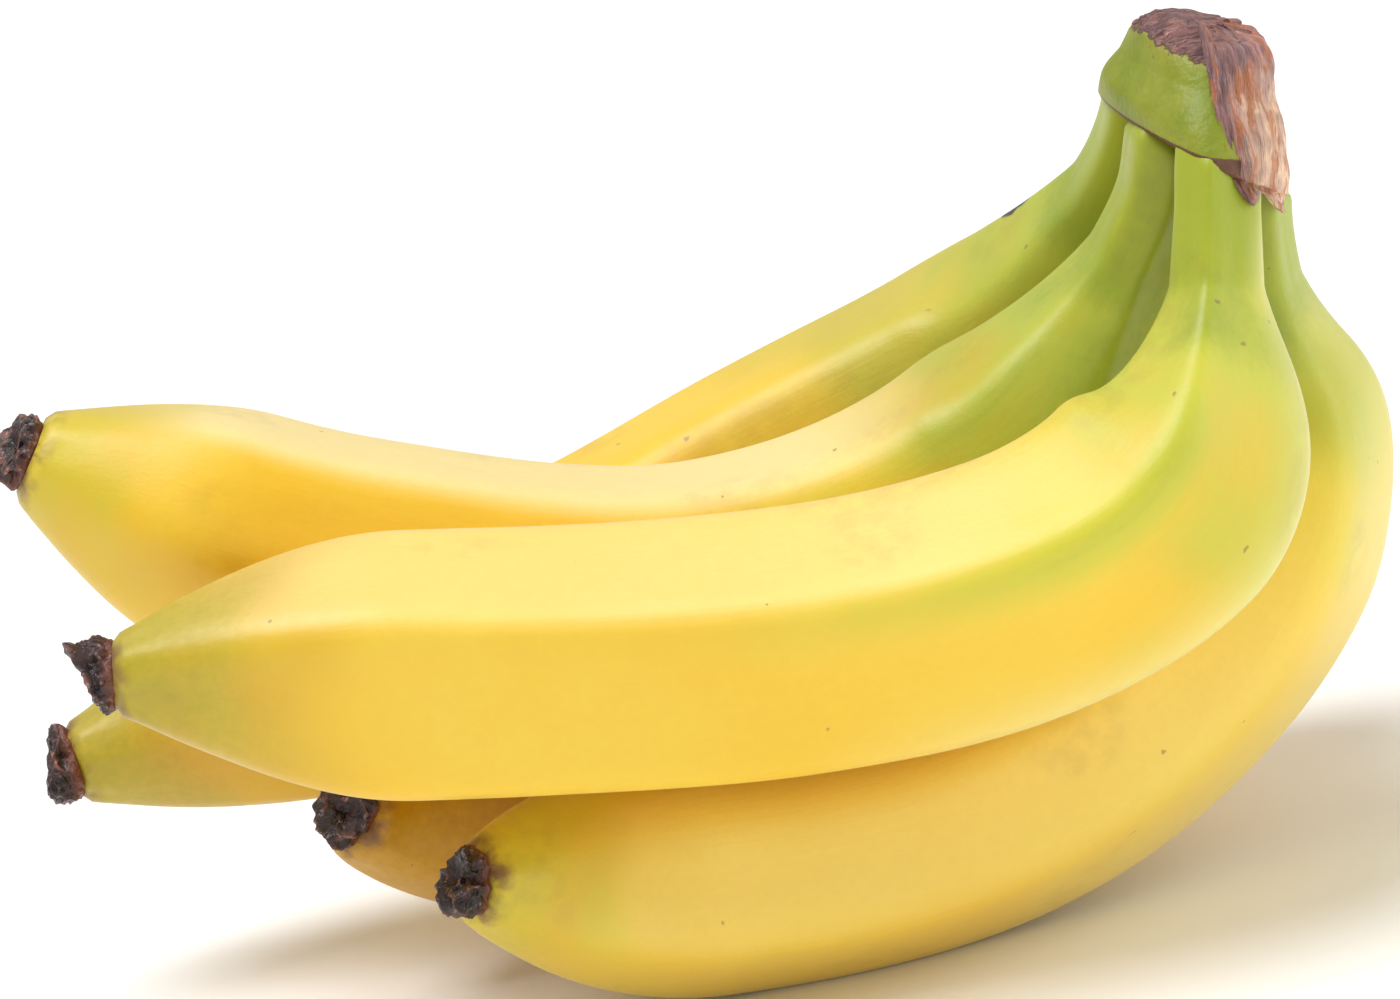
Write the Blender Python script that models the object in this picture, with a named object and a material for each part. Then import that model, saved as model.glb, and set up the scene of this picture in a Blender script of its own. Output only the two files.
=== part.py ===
"""A bunch of five ripe bananas on one crown, lying on two bellies.

Metres, +Z up, +X towards the crown, +Y towards the back of the bunch.
Lengths below are millimetres and become metres when a mesh is made.
"""

import math

import bpy
import numpy as np

METRE = 0.001

# Moves the bunch so that the origin is under the middle of its box, and the
# two lowest bellies go 0.7 mm into the surface, where they are pressed flat.
CENTRING = (2.82, 0.17, 1.35)
FLOOR = -CENTRING[2]

# How finely every banana is meshed.
RINGS = 40
SIDES = 20

# The gap kept between neighbouring pieces.
GAP = 0.35

# Half thickness of the neck, the body and the blossom tip of a banana, and
# the lengths of its neck, of its shoulder and of its tapering end.
# ridges: angles of the five long ridges, from the near side towards the
# inside of the bend.  twist: how far they are turned at the crown, in degrees.
# route: the middle line, from inside the crown to the tip.
FINGERS = {
    "finger_a": {
        "neck": 5.5, "body": 17.3, "tip": 6.2,
        "neck_length": 23.0, "shoulder": 50.0, "taper": 50.0,
        "ridges": (50, 0, -72, -146, 122), "twist": 0.0,
        "route": (
            (77.5, -1, 117), (73, 6.5, 104.5), (66.6, 17, 93.2), (57, 30, 79.0),
            (43, 38.5, 69.2), (10, 40.5, 58.9), (-14.5, 39.5, 50.6), (-42, 39, 44.4),
            (-67, 38.5, 41), (-87, 38, 38), (-103.8, 35.5, 37),
        ),
    },
    "finger_b": {
        "neck": 5.6, "body": 17.9, "tip": 6.6,
        "neck_length": 22.0, "shoulder": 42.0, "taper": 33.0,
        "ridges": (58, 4, -68, -142, 128), "twist": -12.0,
        "route": (
            (78.4, -12, 113), (76.4, -11, 105.5), (74, -9.5, 99.5), (68.5, -8, 91),
            (62, -6.3, 82), (54.8, -4.6, 73.4), (45, -1.5, 65), (25.5, -0.3, 57.4),
            (1, -1, 55.2), (-22.5, 0, 58.9), (-45.5, 1.5, 66.6), (-66.5, 3, 75.6),
            (-82.5, 4.5, 85.2), (-95.4, 4.5, 94.1),
        ),
    },
    "finger_c": {
        "neck": 5.3, "body": 18.1, "tip": 5.4,
        "neck_length": 21.0, "shoulder": 34.0, "taper": 42.0,
        "ridges": (35, 106, 173, 240, 308), "twist": -16.0,
        "route": (
            (83.5, -24, 111), (80, -28, 95), (77.2, -32, 84), (72.2, -37, 72.5),
            (62.5, -40, 63.8), (47, -41.5, 58), (22.5, -41.5, 55.5),
            (-6.5, -40, 56.9), (-39, -37.5, 61.4), (-67, -36, 66), (-86, -36, 69),
        ),
    },
    "finger_d": {
        "neck": 5.3, "body": 18.8, "tip": 5.8,
        "neck_length": 22.0, "shoulder": 44.0, "taper": 40.0,
        "ridges": (36, -14, -90, -164, 110), "twist": -8.0,
        "route": (
            (89.3, -11.6, 106), (87.6, -8.6, 93.5), (87.7, -5, 83), (88.6, -2.2, 72.5),
            (89, -1.4, 62.5), (84.2, -3.4, 52), (75.4, -7.8, 41.1), (61, -13.1, 30),
            (38, -19, 21), (12.5, -23, 18.5), (-10, -24, 19.5), (-25, -26.5, 21.7),
            (-35.6, -31, 25.2), (-42.4, -37, 28.4),
        ),
    },
    "finger_e": {
        "neck": 5.5, "body": 18.4, "tip": 6.2,
        "neck_length": 22.0, "shoulder": 44.0, "taper": 50.0,
        "ridges": (36, -14, -90, -164, 110), "twist": -8.0,
        "route": (
            (86.3, 3.0, 106.5), (84, 12.8, 91.5), (84, 27, 76), (83, 37.5, 61),
            (78, 40.5, 47), (68, 36.5, 35), (50.5, 29, 25), (29.5, 22.5, 19.5),
            (10, 18.5, 18), (-9.5, 16.5, 19.5), (-29.5, 13, 22), (-46, 8.5, 24.7),
            (-55.5, 3, 28.2), (-59.8, -2, 31.2),
        ),
    },
}

# A neck is this much thicker where its shoulder starts than at the crown.
NECK_GROWTH = 0.2

# The near side of the bunch: the direction that ridge angles start from.
NEAR_SIDE = (0.0, -1.0, 0.0)

# The crown wraps the five necks at its foot and is cut off at its top.
CROWN_NECKS = (
    (83.0, -24.0, 107.3),
    (77.4, -12.0, 108.3),
    (74.9, -0.5, 112.0),
    (87.6, -11.5, 102.5),
    (84.8, 3.0, 103.5),
)
CROWN_TOP = (85.2, -6.5, 124.7)
CROWN_TOP_SPREAD = 0.5
CROWN_FOOT_TILT = 39.0
CROWN_TOP_TILT = 14.0
CROWN_FOOT_RADIUS = 6.9
CROWN_TOP_RADIUS = 6.9
CROWN_BELLY = 0.9
CROWN_WRAP = 0.35
CROWN_SIDES = 40
CROWN_LEVELS = (0.0, 0.05, 0.16, 0.32, 0.5, 0.68, 0.84, 0.95, 1.0)
CROWN_EASE = (-0.8, 0.3, 0.35, 0.2, 0.05, 0.0, 0.0, -0.2, -1.0)

# Dried remnant of the flower on each tip.
REMNANT_LENGTH = 4.6
REMNANT_SIDES = 14
REMNANT_PROFILE = ((0.0, 0.82), (0.18, 0.98), (0.55, 1.0), (0.85, 0.86), (1.0, 0.6))

# Torn, dried stalk tissue hanging down the near right side of the crown.
STRIP_THICKNESS = 1.3
STRIP_TOP_ANGLES = (-106.0, 14.0)
STRIP_FOOT_ANGLES = (-80.0, -2.0)
STRIP_COLUMNS = 10
STRIP_ROWS = 12
STRIP_TOP_LEVEL = 0.97
STRIP_HANG = (2.2, 3.6, 3.9, 2.9, 1.5, 1.6, 2.9, 3.5, 3.2, 2.0, 1.0)


def clear_scene():
    for item in list(bpy.data.objects):
        bpy.data.objects.remove(item, do_unlink=True)


def material(name, colour, roughness):
    """A plain finish for one kind of tissue."""
    made = bpy.data.materials.new(name)
    made.use_nodes = True
    shader = made.node_tree.nodes["Principled BSDF"]
    shader.inputs["Base Color"].default_value = (*colour, 1.0)
    shader.inputs["Roughness"].default_value = roughness
    shader.inputs["Metallic"].default_value = 0.0
    made.diffuse_color = (*colour, 1.0)
    return made


def middle_line(points, count):
    """A natural cubic spline through the points, as evenly spaced places."""
    points = np.array(points, float)
    steps = np.linalg.norm(np.diff(points, axis=0), axis=1)
    knots = np.concatenate([[0.0], np.cumsum(np.sqrt(steps))])
    last = len(points) - 1
    gaps = np.diff(knots)
    matrix = np.eye(last + 1)
    bends = np.zeros_like(points)
    for i in range(1, last):
        matrix[i, i - 1 : i + 2] = gaps[i - 1], 2 * (gaps[i - 1] + gaps[i]), gaps[i]
        after = (points[i + 1] - points[i]) / gaps[i]
        before = (points[i] - points[i - 1]) / gaps[i - 1]
        bends[i] = 6 * (after - before)
    curve = np.linalg.solve(matrix, bends)
    fine = []
    for t in np.linspace(0.0, knots[-1], 1200):
        i = int(np.clip(np.searchsorted(knots, t, side="right") - 1, 0, last - 1))
        ahead = knots[i + 1] - t
        behind = t - knots[i]
        span = gaps[i]
        place = (curve[i] * ahead**3 + curve[i + 1] * behind**3) / (6 * span)
        place = place + (points[i] / span - curve[i] * span / 6) * ahead
        place = place + (points[i + 1] / span - curve[i + 1] * span / 6) * behind
        fine.append(place)
    fine = np.array(fine)
    run = np.linalg.norm(np.diff(fine, axis=0), axis=1)
    run = np.concatenate([[0.0], np.cumsum(run)])
    wanted = np.linspace(0.0, run[-1], count)
    line = np.stack([np.interp(wanted, run, fine[:, k]) for k in range(3)], axis=1)
    return line, wanted


def swelling(part):
    """0 to 1: slow start, then the round rise of a shoulder."""
    part = np.clip(part, 0.0, 1.0)
    return 0.5 * (np.sin(math.pi / 2 * part) + part * part * (3 - 2 * part))


def half_thickness(run, finger):
    """Mean radius along a banana: neck, shoulder, body and tapering tip."""
    rise = swelling((run - finger["neck_length"]) / finger["shoulder"])
    neck = np.clip(run / finger["neck_length"], 0.0, 1.0)
    neck = finger["neck"] * (1 + NECK_GROWTH * neck)
    radius = neck + (finger["body"] - neck) * rise
    left = np.clip((run[-1] - run) / finger["taper"], 0.0, 1.0)
    end = finger["tip"] + (finger["body"] - finger["tip"]) * np.sin(math.pi / 2 * left)
    return radius * end / finger["body"]


def five_sided(angles, ridges, flatness, power):
    """A rounded pentagon with corners at the ridges and a mean radius of one."""
    corners = np.sort(np.mod(np.radians(ridges), 2 * math.pi))
    following = np.append(corners[1:], corners[0] + 2 * math.pi)
    facing = (corners + following) / 2
    reach = 1 - flatness * (1 - np.cos((following - corners) / 2))

    def radius(at):
        share = np.clip(np.cos(at[:, None] - facing[None, :]), 0.0, None) / reach
        return (share**power).sum(axis=1) ** (-1 / power)

    around = np.linspace(0.0, 2 * math.pi, 180, endpoint=False)
    return radius(angles) / radius(around).mean()


def along(line):
    """Unit directions along a line."""
    ways = np.gradient(line, axis=0)
    return ways / np.linalg.norm(ways, axis=1)[:, None]


def finger_rings(finger, rings, sides):
    """The skin of one banana as rings of points, from neck to tip."""
    line, run = middle_line(finger["route"], rings)
    ways = along(line)
    radius = half_thickness(run, finger)
    angles = np.linspace(0.0, 2 * math.pi, sides, endpoint=False)
    skin = []
    for place, way, size, at in zip(line, ways, radius, run):
        near = np.array(NEAR_SIDE) - np.dot(NEAR_SIDE, way) * way
        near = near / np.linalg.norm(near)
        inside = np.cross(way, near)
        body = float(np.clip((at - finger["neck_length"]) / finger["shoulder"], 0, 1))
        left = float(np.clip((run[-1] - at - 2.0) / 44.0, 0, 1))
        soft = 0.5 + 0.5 * left * left * (3 - 2 * left)
        flatness = (0.85 - 0.13 * body) * soft
        power = (11 - 2 * body) * soft
        ridges = np.array(finger["ridges"]) + finger["twist"] * (1 - at / run[-1])
        reach = size * five_sided(angles, ridges, flatness, power)
        ring = reach[:, None] * (
            np.cos(angles)[:, None] * near + np.sin(angles)[:, None] * inside
        )
        skin.append(place + ring)
    return np.array(skin), line, ways, radius


def solid(name, points, faces, finish):
    """One closed mesh object, in metres, facing out."""
    mesh = bpy.data.meshes.new(name)
    corners = (np.array(points) + np.array(CENTRING)) * METRE
    corners = [tuple(float(v) for v in corner) for corner in corners]
    mesh.from_pydata(corners, [], faces)
    mesh.materials.append(finish)
    for face in mesh.polygons:
        face.use_smooth = True
    made = bpy.data.objects.new(name, mesh)
    bpy.context.scene.collection.objects.link(made)
    return made


def ring_faces(rings, sides, first_inward):
    """Quads between rings plus a flat or domed cap at each end."""
    faces = []
    for k in range(rings - 1):
        for j in range(sides):
            after = (j + 1) % sides
            low = k * sides
            high = low + sides
            faces.append((low + j, low + after, high + after, high + j))
    faces.append(tuple(reversed(range(sides))))
    faces.append(tuple((rings - 1) * sides + j for j in range(sides)))
    if first_inward:
        faces = [tuple(reversed(face)) for face in faces]
    return faces


def cut(target, cutter):
    """Cut one mesh by another and drop the cutter."""
    step = target.modifiers.new("cut", "BOOLEAN")
    step.operation = "DIFFERENCE"
    step.solver = "EXACT"
    step.object = cutter
    graph = bpy.context.evaluated_depsgraph_get()
    finished = bpy.data.meshes.new_from_object(target.evaluated_get(graph))
    target.modifiers.clear()
    target.data = finished
    target.data.name = target.name
    for face in target.data.polygons:
        face.use_smooth = True


def crown_ring(level, extra):
    """The outline that wraps the five necks, at a height level from 0 to 1."""
    feet = np.array(CROWN_NECKS)
    middle = feet.mean(axis=0)
    spread = feet - middle
    above = spread * CROWN_TOP_SPREAD
    slope = math.tan(math.radians(CROWN_TOP_TILT))
    above[:, 2] = -slope * above[:, 0] + 0.11 * above[:, 1]
    tops = np.array(CROWN_TOP) + above
    places = feet + (tops - feet) * level
    tilt = math.radians(CROWN_FOOT_TILT + (CROWN_TOP_TILT - CROWN_FOOT_TILT) * level)
    right = np.array([math.cos(tilt), 0.0, -math.sin(tilt)])
    back = np.array([0.0, 1.0, 0.0])
    size = CROWN_FOOT_RADIUS + (CROWN_TOP_RADIUS - CROWN_FOOT_RADIUS) * level + extra
    size += CROWN_BELLY * math.sin(math.pi * min(1.0, 1.6 * level))
    centre = places.mean(axis=0)

    def at(angle):
        outwards = math.cos(angle) * right + math.sin(angle) * back
        pull = np.exp(CROWN_WRAP * ((places - centre) @ outwards))
        pull = pull / pull.sum()
        return pull @ places + size * outwards

    return at


def hubbed(points, faces):
    """Each end ring closed by triangles round a middle point."""
    points = np.array(points)
    ends = (faces[-2], faces[-1])
    faces = faces[:-2]
    for rim in ends:
        hub = len(points)
        points = np.vstack([points, points[list(rim)].mean(axis=0)])
        for j, corner in enumerate(rim):
            faces.append((corner, rim[(j + 1) % len(rim)], hub))
    return points, faces


def ring_of(level, extra, lift):
    """One ring of points round the crown, lifted straight up."""
    at = crown_ring(level, extra)
    turns = [2 * math.pi * j / CROWN_SIDES for j in range(CROWN_SIDES)]
    return [at(turn) + np.array([0.0, 0.0, lift]) for turn in turns]


def make_crown(name, finish):
    """The crown, from the rim over the necks to the cut top."""
    points = []
    for level, ease in zip(CROWN_LEVELS, CROWN_EASE):
        points += ring_of(level, ease, 0.0)
    faces = ring_faces(len(CROWN_LEVELS), CROWN_SIDES, False)
    points, faces = hubbed(points, faces)
    return solid(name, points, faces, finish)


def make_room_above_necks(name, finish):
    """The space that the necks stay out of: all above the foot of the crown."""
    drop = -1.3 * GAP
    points = ring_of(0.0, CROWN_EASE[0], drop)
    points += ring_of(0.0, CROWN_EASE[0] + 6.0, drop)
    points += ring_of(0.0, CROWN_EASE[0] + 6.0, drop + 30.0)
    faces = ring_faces(3, CROWN_SIDES, False)
    points, faces = hubbed(points, faces)
    return solid(name, points, faces, finish)


def make_remnant(name, line, ways, radius, turn, finish):
    """The dried flower end: a short, uneven knob just off the tip."""
    way = ways[-1]
    side = np.cross(way, (0.0, 0.0, 1.0))
    side = side / np.linalg.norm(side)
    over = np.cross(side, way)
    start = line[-1] + GAP * way
    points = []
    for part, size in REMNANT_PROFILE:
        for j in range(REMNANT_SIDES):
            angle = 2 * math.pi * j / REMNANT_SIDES
            uneven = 1 + 0.1 * math.sin(3 * angle + turn)
            uneven += 0.06 * math.sin(5 * angle + 2 * turn + 3 * part)
            reach = 0.9 * radius[-1] * size * uneven
            lean = 0.6 * part * part * math.sin(angle * 2 + turn)
            place = start + way * (REMNANT_LENGTH * part + lean)
            place = place + reach * (math.cos(angle) * side + math.sin(angle) * over)
            points.append(place)
    faces = ring_faces(len(REMNANT_PROFILE), REMNANT_SIDES, True)
    return solid(name, points, faces, finish)


def make_strip(name, finish):
    """The torn stalk tissue, following the crown with a small gap."""
    grid = []
    for column in range(STRIP_COLUMNS + 1):
        across = column / STRIP_COLUMNS
        first = STRIP_TOP_ANGLES[0] * (1 - across) + STRIP_TOP_ANGLES[1] * across
        second = STRIP_FOOT_ANGLES[0] * (1 - across) + STRIP_FOOT_ANGLES[1] * across
        thickness = STRIP_THICKNESS * (0.55 + 0.45 * math.sin(math.pi * across))
        hang = STRIP_HANG[column]
        for row in range(STRIP_ROWS + 1):
            down = row / STRIP_ROWS
            level = STRIP_TOP_LEVEL * (1 - 1.25 * down)
            angle = math.radians(first + (second - first) * down)
            drop = 0.0
            if level < 0.06:
                drop = hang * (0.06 - level) / (0.06 + 0.25 * STRIP_TOP_LEVEL)
                level = 0.06
            bulge = 0.3 + 0.4 * drop
            inner = crown_ring(level, GAP + 0.1 + bulge)(angle)
            outer = crown_ring(level, GAP + 0.1 + bulge + thickness)(angle)
            fall = np.array([0.0, 0.0, -drop])
            grid.append((inner + fall, outer + fall))
    columns = STRIP_COLUMNS + 1
    rows = STRIP_ROWS + 1
    points = [pair[0] for pair in grid] + [pair[1] for pair in grid]
    count = columns * rows

    def index(column, row, layer):
        return layer * count + column * rows + row

    faces = []
    for i in range(columns - 1):
        for k in range(rows - 1):
            faces.append(
                tuple(index(a, b, 0) for a, b in
                      ((i, k), (i + 1, k), (i + 1, k + 1), (i, k + 1)))
            )
            faces.append(
                tuple(index(a, b, 1) for a, b in
                      ((i, k), (i, k + 1), (i + 1, k + 1), (i + 1, k)))
            )
    border = [(i, 0) for i in range(columns)]
    border += [(columns - 1, k) for k in range(1, rows)]
    border += [(i, rows - 1) for i in range(columns - 2, -1, -1)]
    border += [(0, k) for k in range(rows - 2, 0, -1)]
    for here, there in zip(border, border[1:] + border[:1]):
        faces.append(
            (index(*here, 1), index(*there, 1), index(*there, 0), index(*here, 0))
        )
    return solid(name, points, faces, finish)


clear_scene()
peel = material("ripe_peel", (0.87, 0.62, 0.10), 0.42)
green = material("green_crown", (0.36, 0.38, 0.07), 0.5)
dried = material("dried_tissue", (0.28, 0.13, 0.09), 0.8)
dark = material("dried_flower", (0.06, 0.035, 0.028), 0.75)

make_crown("crown", green)
crown_room = make_room_above_necks("crown_room", green)

# The surface that the bunch lies on, as a block under it.
floor_points = []
for z in (-60.0, FLOOR):
    for x, y in ((-150.0, -100.0), (150.0, -100.0), (150.0, 100.0), (-150.0, 100.0)):
        floor_points.append((x, y, z))
floor_faces = [(3, 2, 1, 0), (4, 5, 6, 7), (0, 1, 5, 4), (1, 2, 6, 5), (2, 3, 7, 6)]
floor_faces.append((3, 0, 4, 7))
floor_room = solid("floor_room", floor_points, floor_faces, dark)

for place, (name, finger) in enumerate(FINGERS.items()):
    skin, line, ways, radius = finger_rings(finger, RINGS, SIDES)
    body = solid(name, skin.reshape(-1, 3), ring_faces(RINGS, SIDES, False), peel)
    cut(body, crown_room)
    if skin[:, :, 2].min() < FLOOR:
        cut(body, floor_room)
    end_name = name.replace("finger", "blossom_end")
    make_remnant(end_name, line, ways, radius, 1.7 * place, dark)

make_strip("stalk_strip", dried)

for helper in (crown_room, floor_room):
    bpy.data.objects.remove(helper, do_unlink=True)
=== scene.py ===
# %% [markdown]
# # A bunch of bananas
#
# The solid model gives the size and the place of every banana.  This script
# gives each one its skin: a finer surface over the same middle line, and
# materials made of nodes.  Nothing is painted by hand and no picture is used.

# %% Load the solid model
import math

import bpy
import numpy as np
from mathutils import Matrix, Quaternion, Vector, noise


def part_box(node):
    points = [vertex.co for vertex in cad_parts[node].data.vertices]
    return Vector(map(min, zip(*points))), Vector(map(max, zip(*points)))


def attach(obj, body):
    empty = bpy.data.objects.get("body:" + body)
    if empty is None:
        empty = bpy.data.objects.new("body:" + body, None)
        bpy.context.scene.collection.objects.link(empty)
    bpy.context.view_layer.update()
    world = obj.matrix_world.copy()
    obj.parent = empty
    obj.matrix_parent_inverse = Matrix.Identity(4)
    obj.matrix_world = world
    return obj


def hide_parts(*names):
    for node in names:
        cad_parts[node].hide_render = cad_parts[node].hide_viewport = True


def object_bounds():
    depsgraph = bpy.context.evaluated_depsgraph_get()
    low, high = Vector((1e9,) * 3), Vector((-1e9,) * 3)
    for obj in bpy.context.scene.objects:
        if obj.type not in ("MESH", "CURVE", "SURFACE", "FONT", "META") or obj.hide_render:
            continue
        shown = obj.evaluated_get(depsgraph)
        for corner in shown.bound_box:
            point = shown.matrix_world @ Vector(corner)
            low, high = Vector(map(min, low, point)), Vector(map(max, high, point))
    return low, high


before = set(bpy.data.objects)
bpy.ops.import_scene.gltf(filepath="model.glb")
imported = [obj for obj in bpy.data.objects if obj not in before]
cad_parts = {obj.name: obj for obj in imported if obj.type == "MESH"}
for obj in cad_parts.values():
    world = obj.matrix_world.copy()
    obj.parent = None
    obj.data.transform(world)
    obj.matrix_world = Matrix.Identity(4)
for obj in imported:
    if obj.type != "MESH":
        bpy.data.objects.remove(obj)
cad_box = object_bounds()
MM = 0.001
print("solid model, mm:", [round(1000 * (b - a)) for a, b in zip(*cad_box)])

# %% [markdown]
# ## The route of every banana
#
# A banana could be modelled by pushing a cylinder into shape, but then its
# thickness and its bend get in each other's way.  Here they are apart: a
# middle line says where the fruit goes, and a formula says how thick it is.
# The points are those of the solid model, in millimetres.
#
# `neck`, `body` and `tip` are half thicknesses, and the three lengths after
# them say where each gives way to the next.  `ridges` are the angles of the
# five long corners, counted from the near side towards the inside of the
# bend, and `twist` is how far they are turned at the crown.  `foot` is where
# the neck enters the crown, whose underside leans by `FOOT_TILT` degrees.

# %% Middle lines and sizes
CENTRING = np.array((2.82, 0.17, 1.35))
FOOT_TILT = 39.0

BANANAS = {
    "a": {
        "neck": 5.5, "body": 17.3, "tip": 6.2,
        "neck_length": 23.0, "shoulder": 50.0, "taper": 50.0,
        "ridges": (50, 0, -72, -146, 122), "twist": 0.0,
        "foot": (74.9, -0.5, 112.0),
        "route": (
            (77.5, -1, 117), (73, 6.5, 104.5), (66.6, 17, 93.2), (57, 30, 79.0),
            (43, 38.5, 69.2), (10, 40.5, 58.9), (-14.5, 39.5, 50.6), (-42, 39, 44.4),
            (-67, 38.5, 41), (-87, 38, 38), (-103.8, 35.5, 37),
        ),
    },
    "b": {
        "neck": 5.6, "body": 17.9, "tip": 6.6,
        "neck_length": 22.0, "shoulder": 42.0, "taper": 33.0,
        "ridges": (58, 4, -68, -142, 128), "twist": -12.0,
        "foot": (77.4, -12.0, 108.3),
        "route": (
            (78.4, -12, 113), (76.4, -11, 105.5), (74, -9.5, 99.5), (68.5, -8, 91),
            (62, -6.3, 82), (54.8, -4.6, 73.4), (45, -1.5, 65), (25.5, -0.3, 57.4),
            (1, -1, 55.2), (-22.5, 0, 58.9), (-45.5, 1.5, 66.6), (-66.5, 3, 75.6),
            (-82.5, 4.5, 85.2), (-95.4, 4.5, 94.1),
        ),
    },
    "c": {
        "neck": 5.3, "body": 18.1, "tip": 5.4,
        "neck_length": 21.0, "shoulder": 34.0, "taper": 42.0,
        "ridges": (35, 106, 173, 240, 308), "twist": -16.0,
        "foot": (83.0, -24.0, 107.3),
        "route": (
            (83.5, -24, 111), (80, -28, 95), (77.2, -32, 84), (72.2, -37, 72.5),
            (62.5, -40, 63.8), (47, -41.5, 58), (22.5, -41.5, 55.5),
            (-6.5, -40, 56.9), (-39, -37.5, 61.4), (-67, -36, 66), (-86, -36, 69),
        ),
    },
    "d": {
        "neck": 5.3, "body": 18.8, "tip": 5.8,
        "neck_length": 22.0, "shoulder": 44.0, "taper": 40.0,
        "ridges": (36, -14, -90, -164, 110), "twist": -8.0,
        "foot": (87.6, -11.5, 102.5),
        "route": (
            (89.3, -11.6, 106), (87.6, -8.6, 93.5), (87.7, -5, 83), (88.6, -2.2, 72.5),
            (89, -1.4, 62.5), (84.2, -3.4, 52), (75.4, -7.8, 41.1), (61, -13.1, 30),
            (38, -19, 21), (12.5, -23, 18.5), (-10, -24, 19.5), (-25, -26.5, 21.7),
            (-35.6, -31, 25.2), (-42.4, -37, 28.4),
        ),
    },
    "e": {
        "neck": 5.5, "body": 18.4, "tip": 6.2,
        "neck_length": 22.0, "shoulder": 44.0, "taper": 50.0,
        "ridges": (36, -14, -90, -164, 110), "twist": -8.0,
        "foot": (84.8, 3.0, 103.5),
        "route": (
            (86.3, 3.0, 106.5), (84, 12.8, 91.5), (84, 27, 76), (83, 37.5, 61),
            (78, 40.5, 47), (68, 36.5, 35), (50.5, 29, 25), (29.5, 22.5, 19.5),
            (10, 18.5, 18), (-9.5, 16.5, 19.5), (-29.5, 13, 22), (-46, 8.5, 24.7),
            (-55.5, 3, 28.2), (-59.8, -2, 31.2),
        ),
    },
}
print("bananas:", ", ".join(BANANAS))

# %% [markdown]
# ## From points to a smooth line
#
# A natural cubic spline goes through every point and has no sudden change of
# bend, as a growing fruit has none.  Equal steps along it keep the mesh even.

# %% A smooth line through the points
def smooth_line(points, count):
    """Evenly spaced places on a natural cubic spline, and the run to each."""
    points = np.array(points, float)
    steps = np.linalg.norm(np.diff(points, axis=0), axis=1)
    knots = np.concatenate([[0.0], np.cumsum(np.sqrt(steps))])
    last = len(points) - 1
    gaps = np.diff(knots)
    matrix = np.eye(last + 1)
    bends = np.zeros_like(points)
    for i in range(1, last):
        matrix[i, i - 1 : i + 2] = gaps[i - 1], 2 * (gaps[i - 1] + gaps[i]), gaps[i]
        after = (points[i + 1] - points[i]) / gaps[i]
        before = (points[i] - points[i - 1]) / gaps[i - 1]
        bends[i] = 6 * (after - before)
    curve = np.linalg.solve(matrix, bends)
    at = np.linspace(0.0, knots[-1], 1500)
    i = np.clip(np.searchsorted(knots, at, side="right") - 1, 0, last - 1)
    ahead = (knots[i + 1] - at)[:, None]
    behind = (at - knots[i])[:, None]
    span = gaps[i][:, None]
    fine = (curve[i] * ahead**3 + curve[i + 1] * behind**3) / (6 * span)
    fine += (points[i] / span - curve[i] * span / 6) * ahead
    fine += (points[i + 1] / span - curve[i + 1] * span / 6) * behind
    run = np.linalg.norm(np.diff(fine, axis=0), axis=1)
    run = np.concatenate([[0.0], np.cumsum(run)])
    wanted = np.linspace(0.0, run[-1], count)
    line = np.stack([np.interp(wanted, run, fine[:, k]) for k in range(3)], axis=1)
    return line, wanted


for letter, banana in BANANAS.items():
    print("banana", letter, "is", round(smooth_line(banana["route"], 50)[1][-1]), "mm long")

# %% [markdown]
# ## How thick
#
# A banana has a thin neck, a round shoulder, a body of nearly one thickness
# and a blunt tapering tip.  Right under the crown the neck flares a little.
# One formula for all five keeps them one family, and each brings its own
# sizes to it.

# %% Thickness
NECK_GROWTH = 0.2
NECK_FLARE = 0.06


def rise(part):
    """0 to 1 with a slow start and a round end."""
    part = np.clip(part, 0.0, 1.0)
    return 0.5 * (np.sin(math.pi / 2 * part) + part * part * (3 - 2 * part))


def fade(value, start, end):
    """0 before start, 1 after end, smooth between them."""
    part = np.clip((value - start) / (end - start), 0.0, 1.0)
    return part * part * (3 - 2 * part)


def half_thickness(run, banana):
    """The mean radius along a banana."""
    grown = rise((run - banana["neck_length"]) / banana["shoulder"])
    neck = banana["neck"] * (1 + NECK_GROWTH * np.clip(run / banana["neck_length"], 0, 1))
    radius = neck + (banana["body"] - neck) * grown
    left = np.clip((run[-1] - run) / banana["taper"], 0.0, 1.0)
    blunt = np.sin(math.pi / 2 * left)
    end = banana["tip"] + (banana["body"] - banana["tip"]) * blunt
    flare = 1 + NECK_FLARE * (1 - fade(run, 2.0, 11.0))
    return radius * end / banana["body"] * flare


halfway = half_thickness(np.linspace(0.0, 200.0, 21), BANANAS["c"])[10]
print("banana c is about", round(2 * halfway, 1), "mm thick halfway")

# %% [markdown]
# ## What section
#
# The section is a pentagon with soft corners.  A sum of powers of cosines
# gives one with no sharp edge anywhere, so it needs no bevel.  It is most
# angular on the neck, and it turns round towards the tip, where the corners
# of a real banana run out.

# %% Section
NECK_FLATNESS, NECK_POWER = 0.85, 11
BODY_FLATNESS, BODY_POWER = 0.72, 9


def five_sided(angles, ridges, flatness, power):
    """Radius of a soft pentagon at each angle, with a mean of one."""
    corners = np.sort(np.mod(np.radians(ridges), 2 * math.pi))
    following = np.append(corners[1:], corners[0] + 2 * math.pi)
    facing = (corners + following) / 2
    reach = 1 - flatness * (1 - np.cos((following - corners) / 2))
    share = np.clip(np.cos(angles[:, None] - facing[None, :]), 0.0, None) / reach
    radius = (share**power).sum(axis=1) ** (-1 / power)
    return radius / radius.mean()


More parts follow.
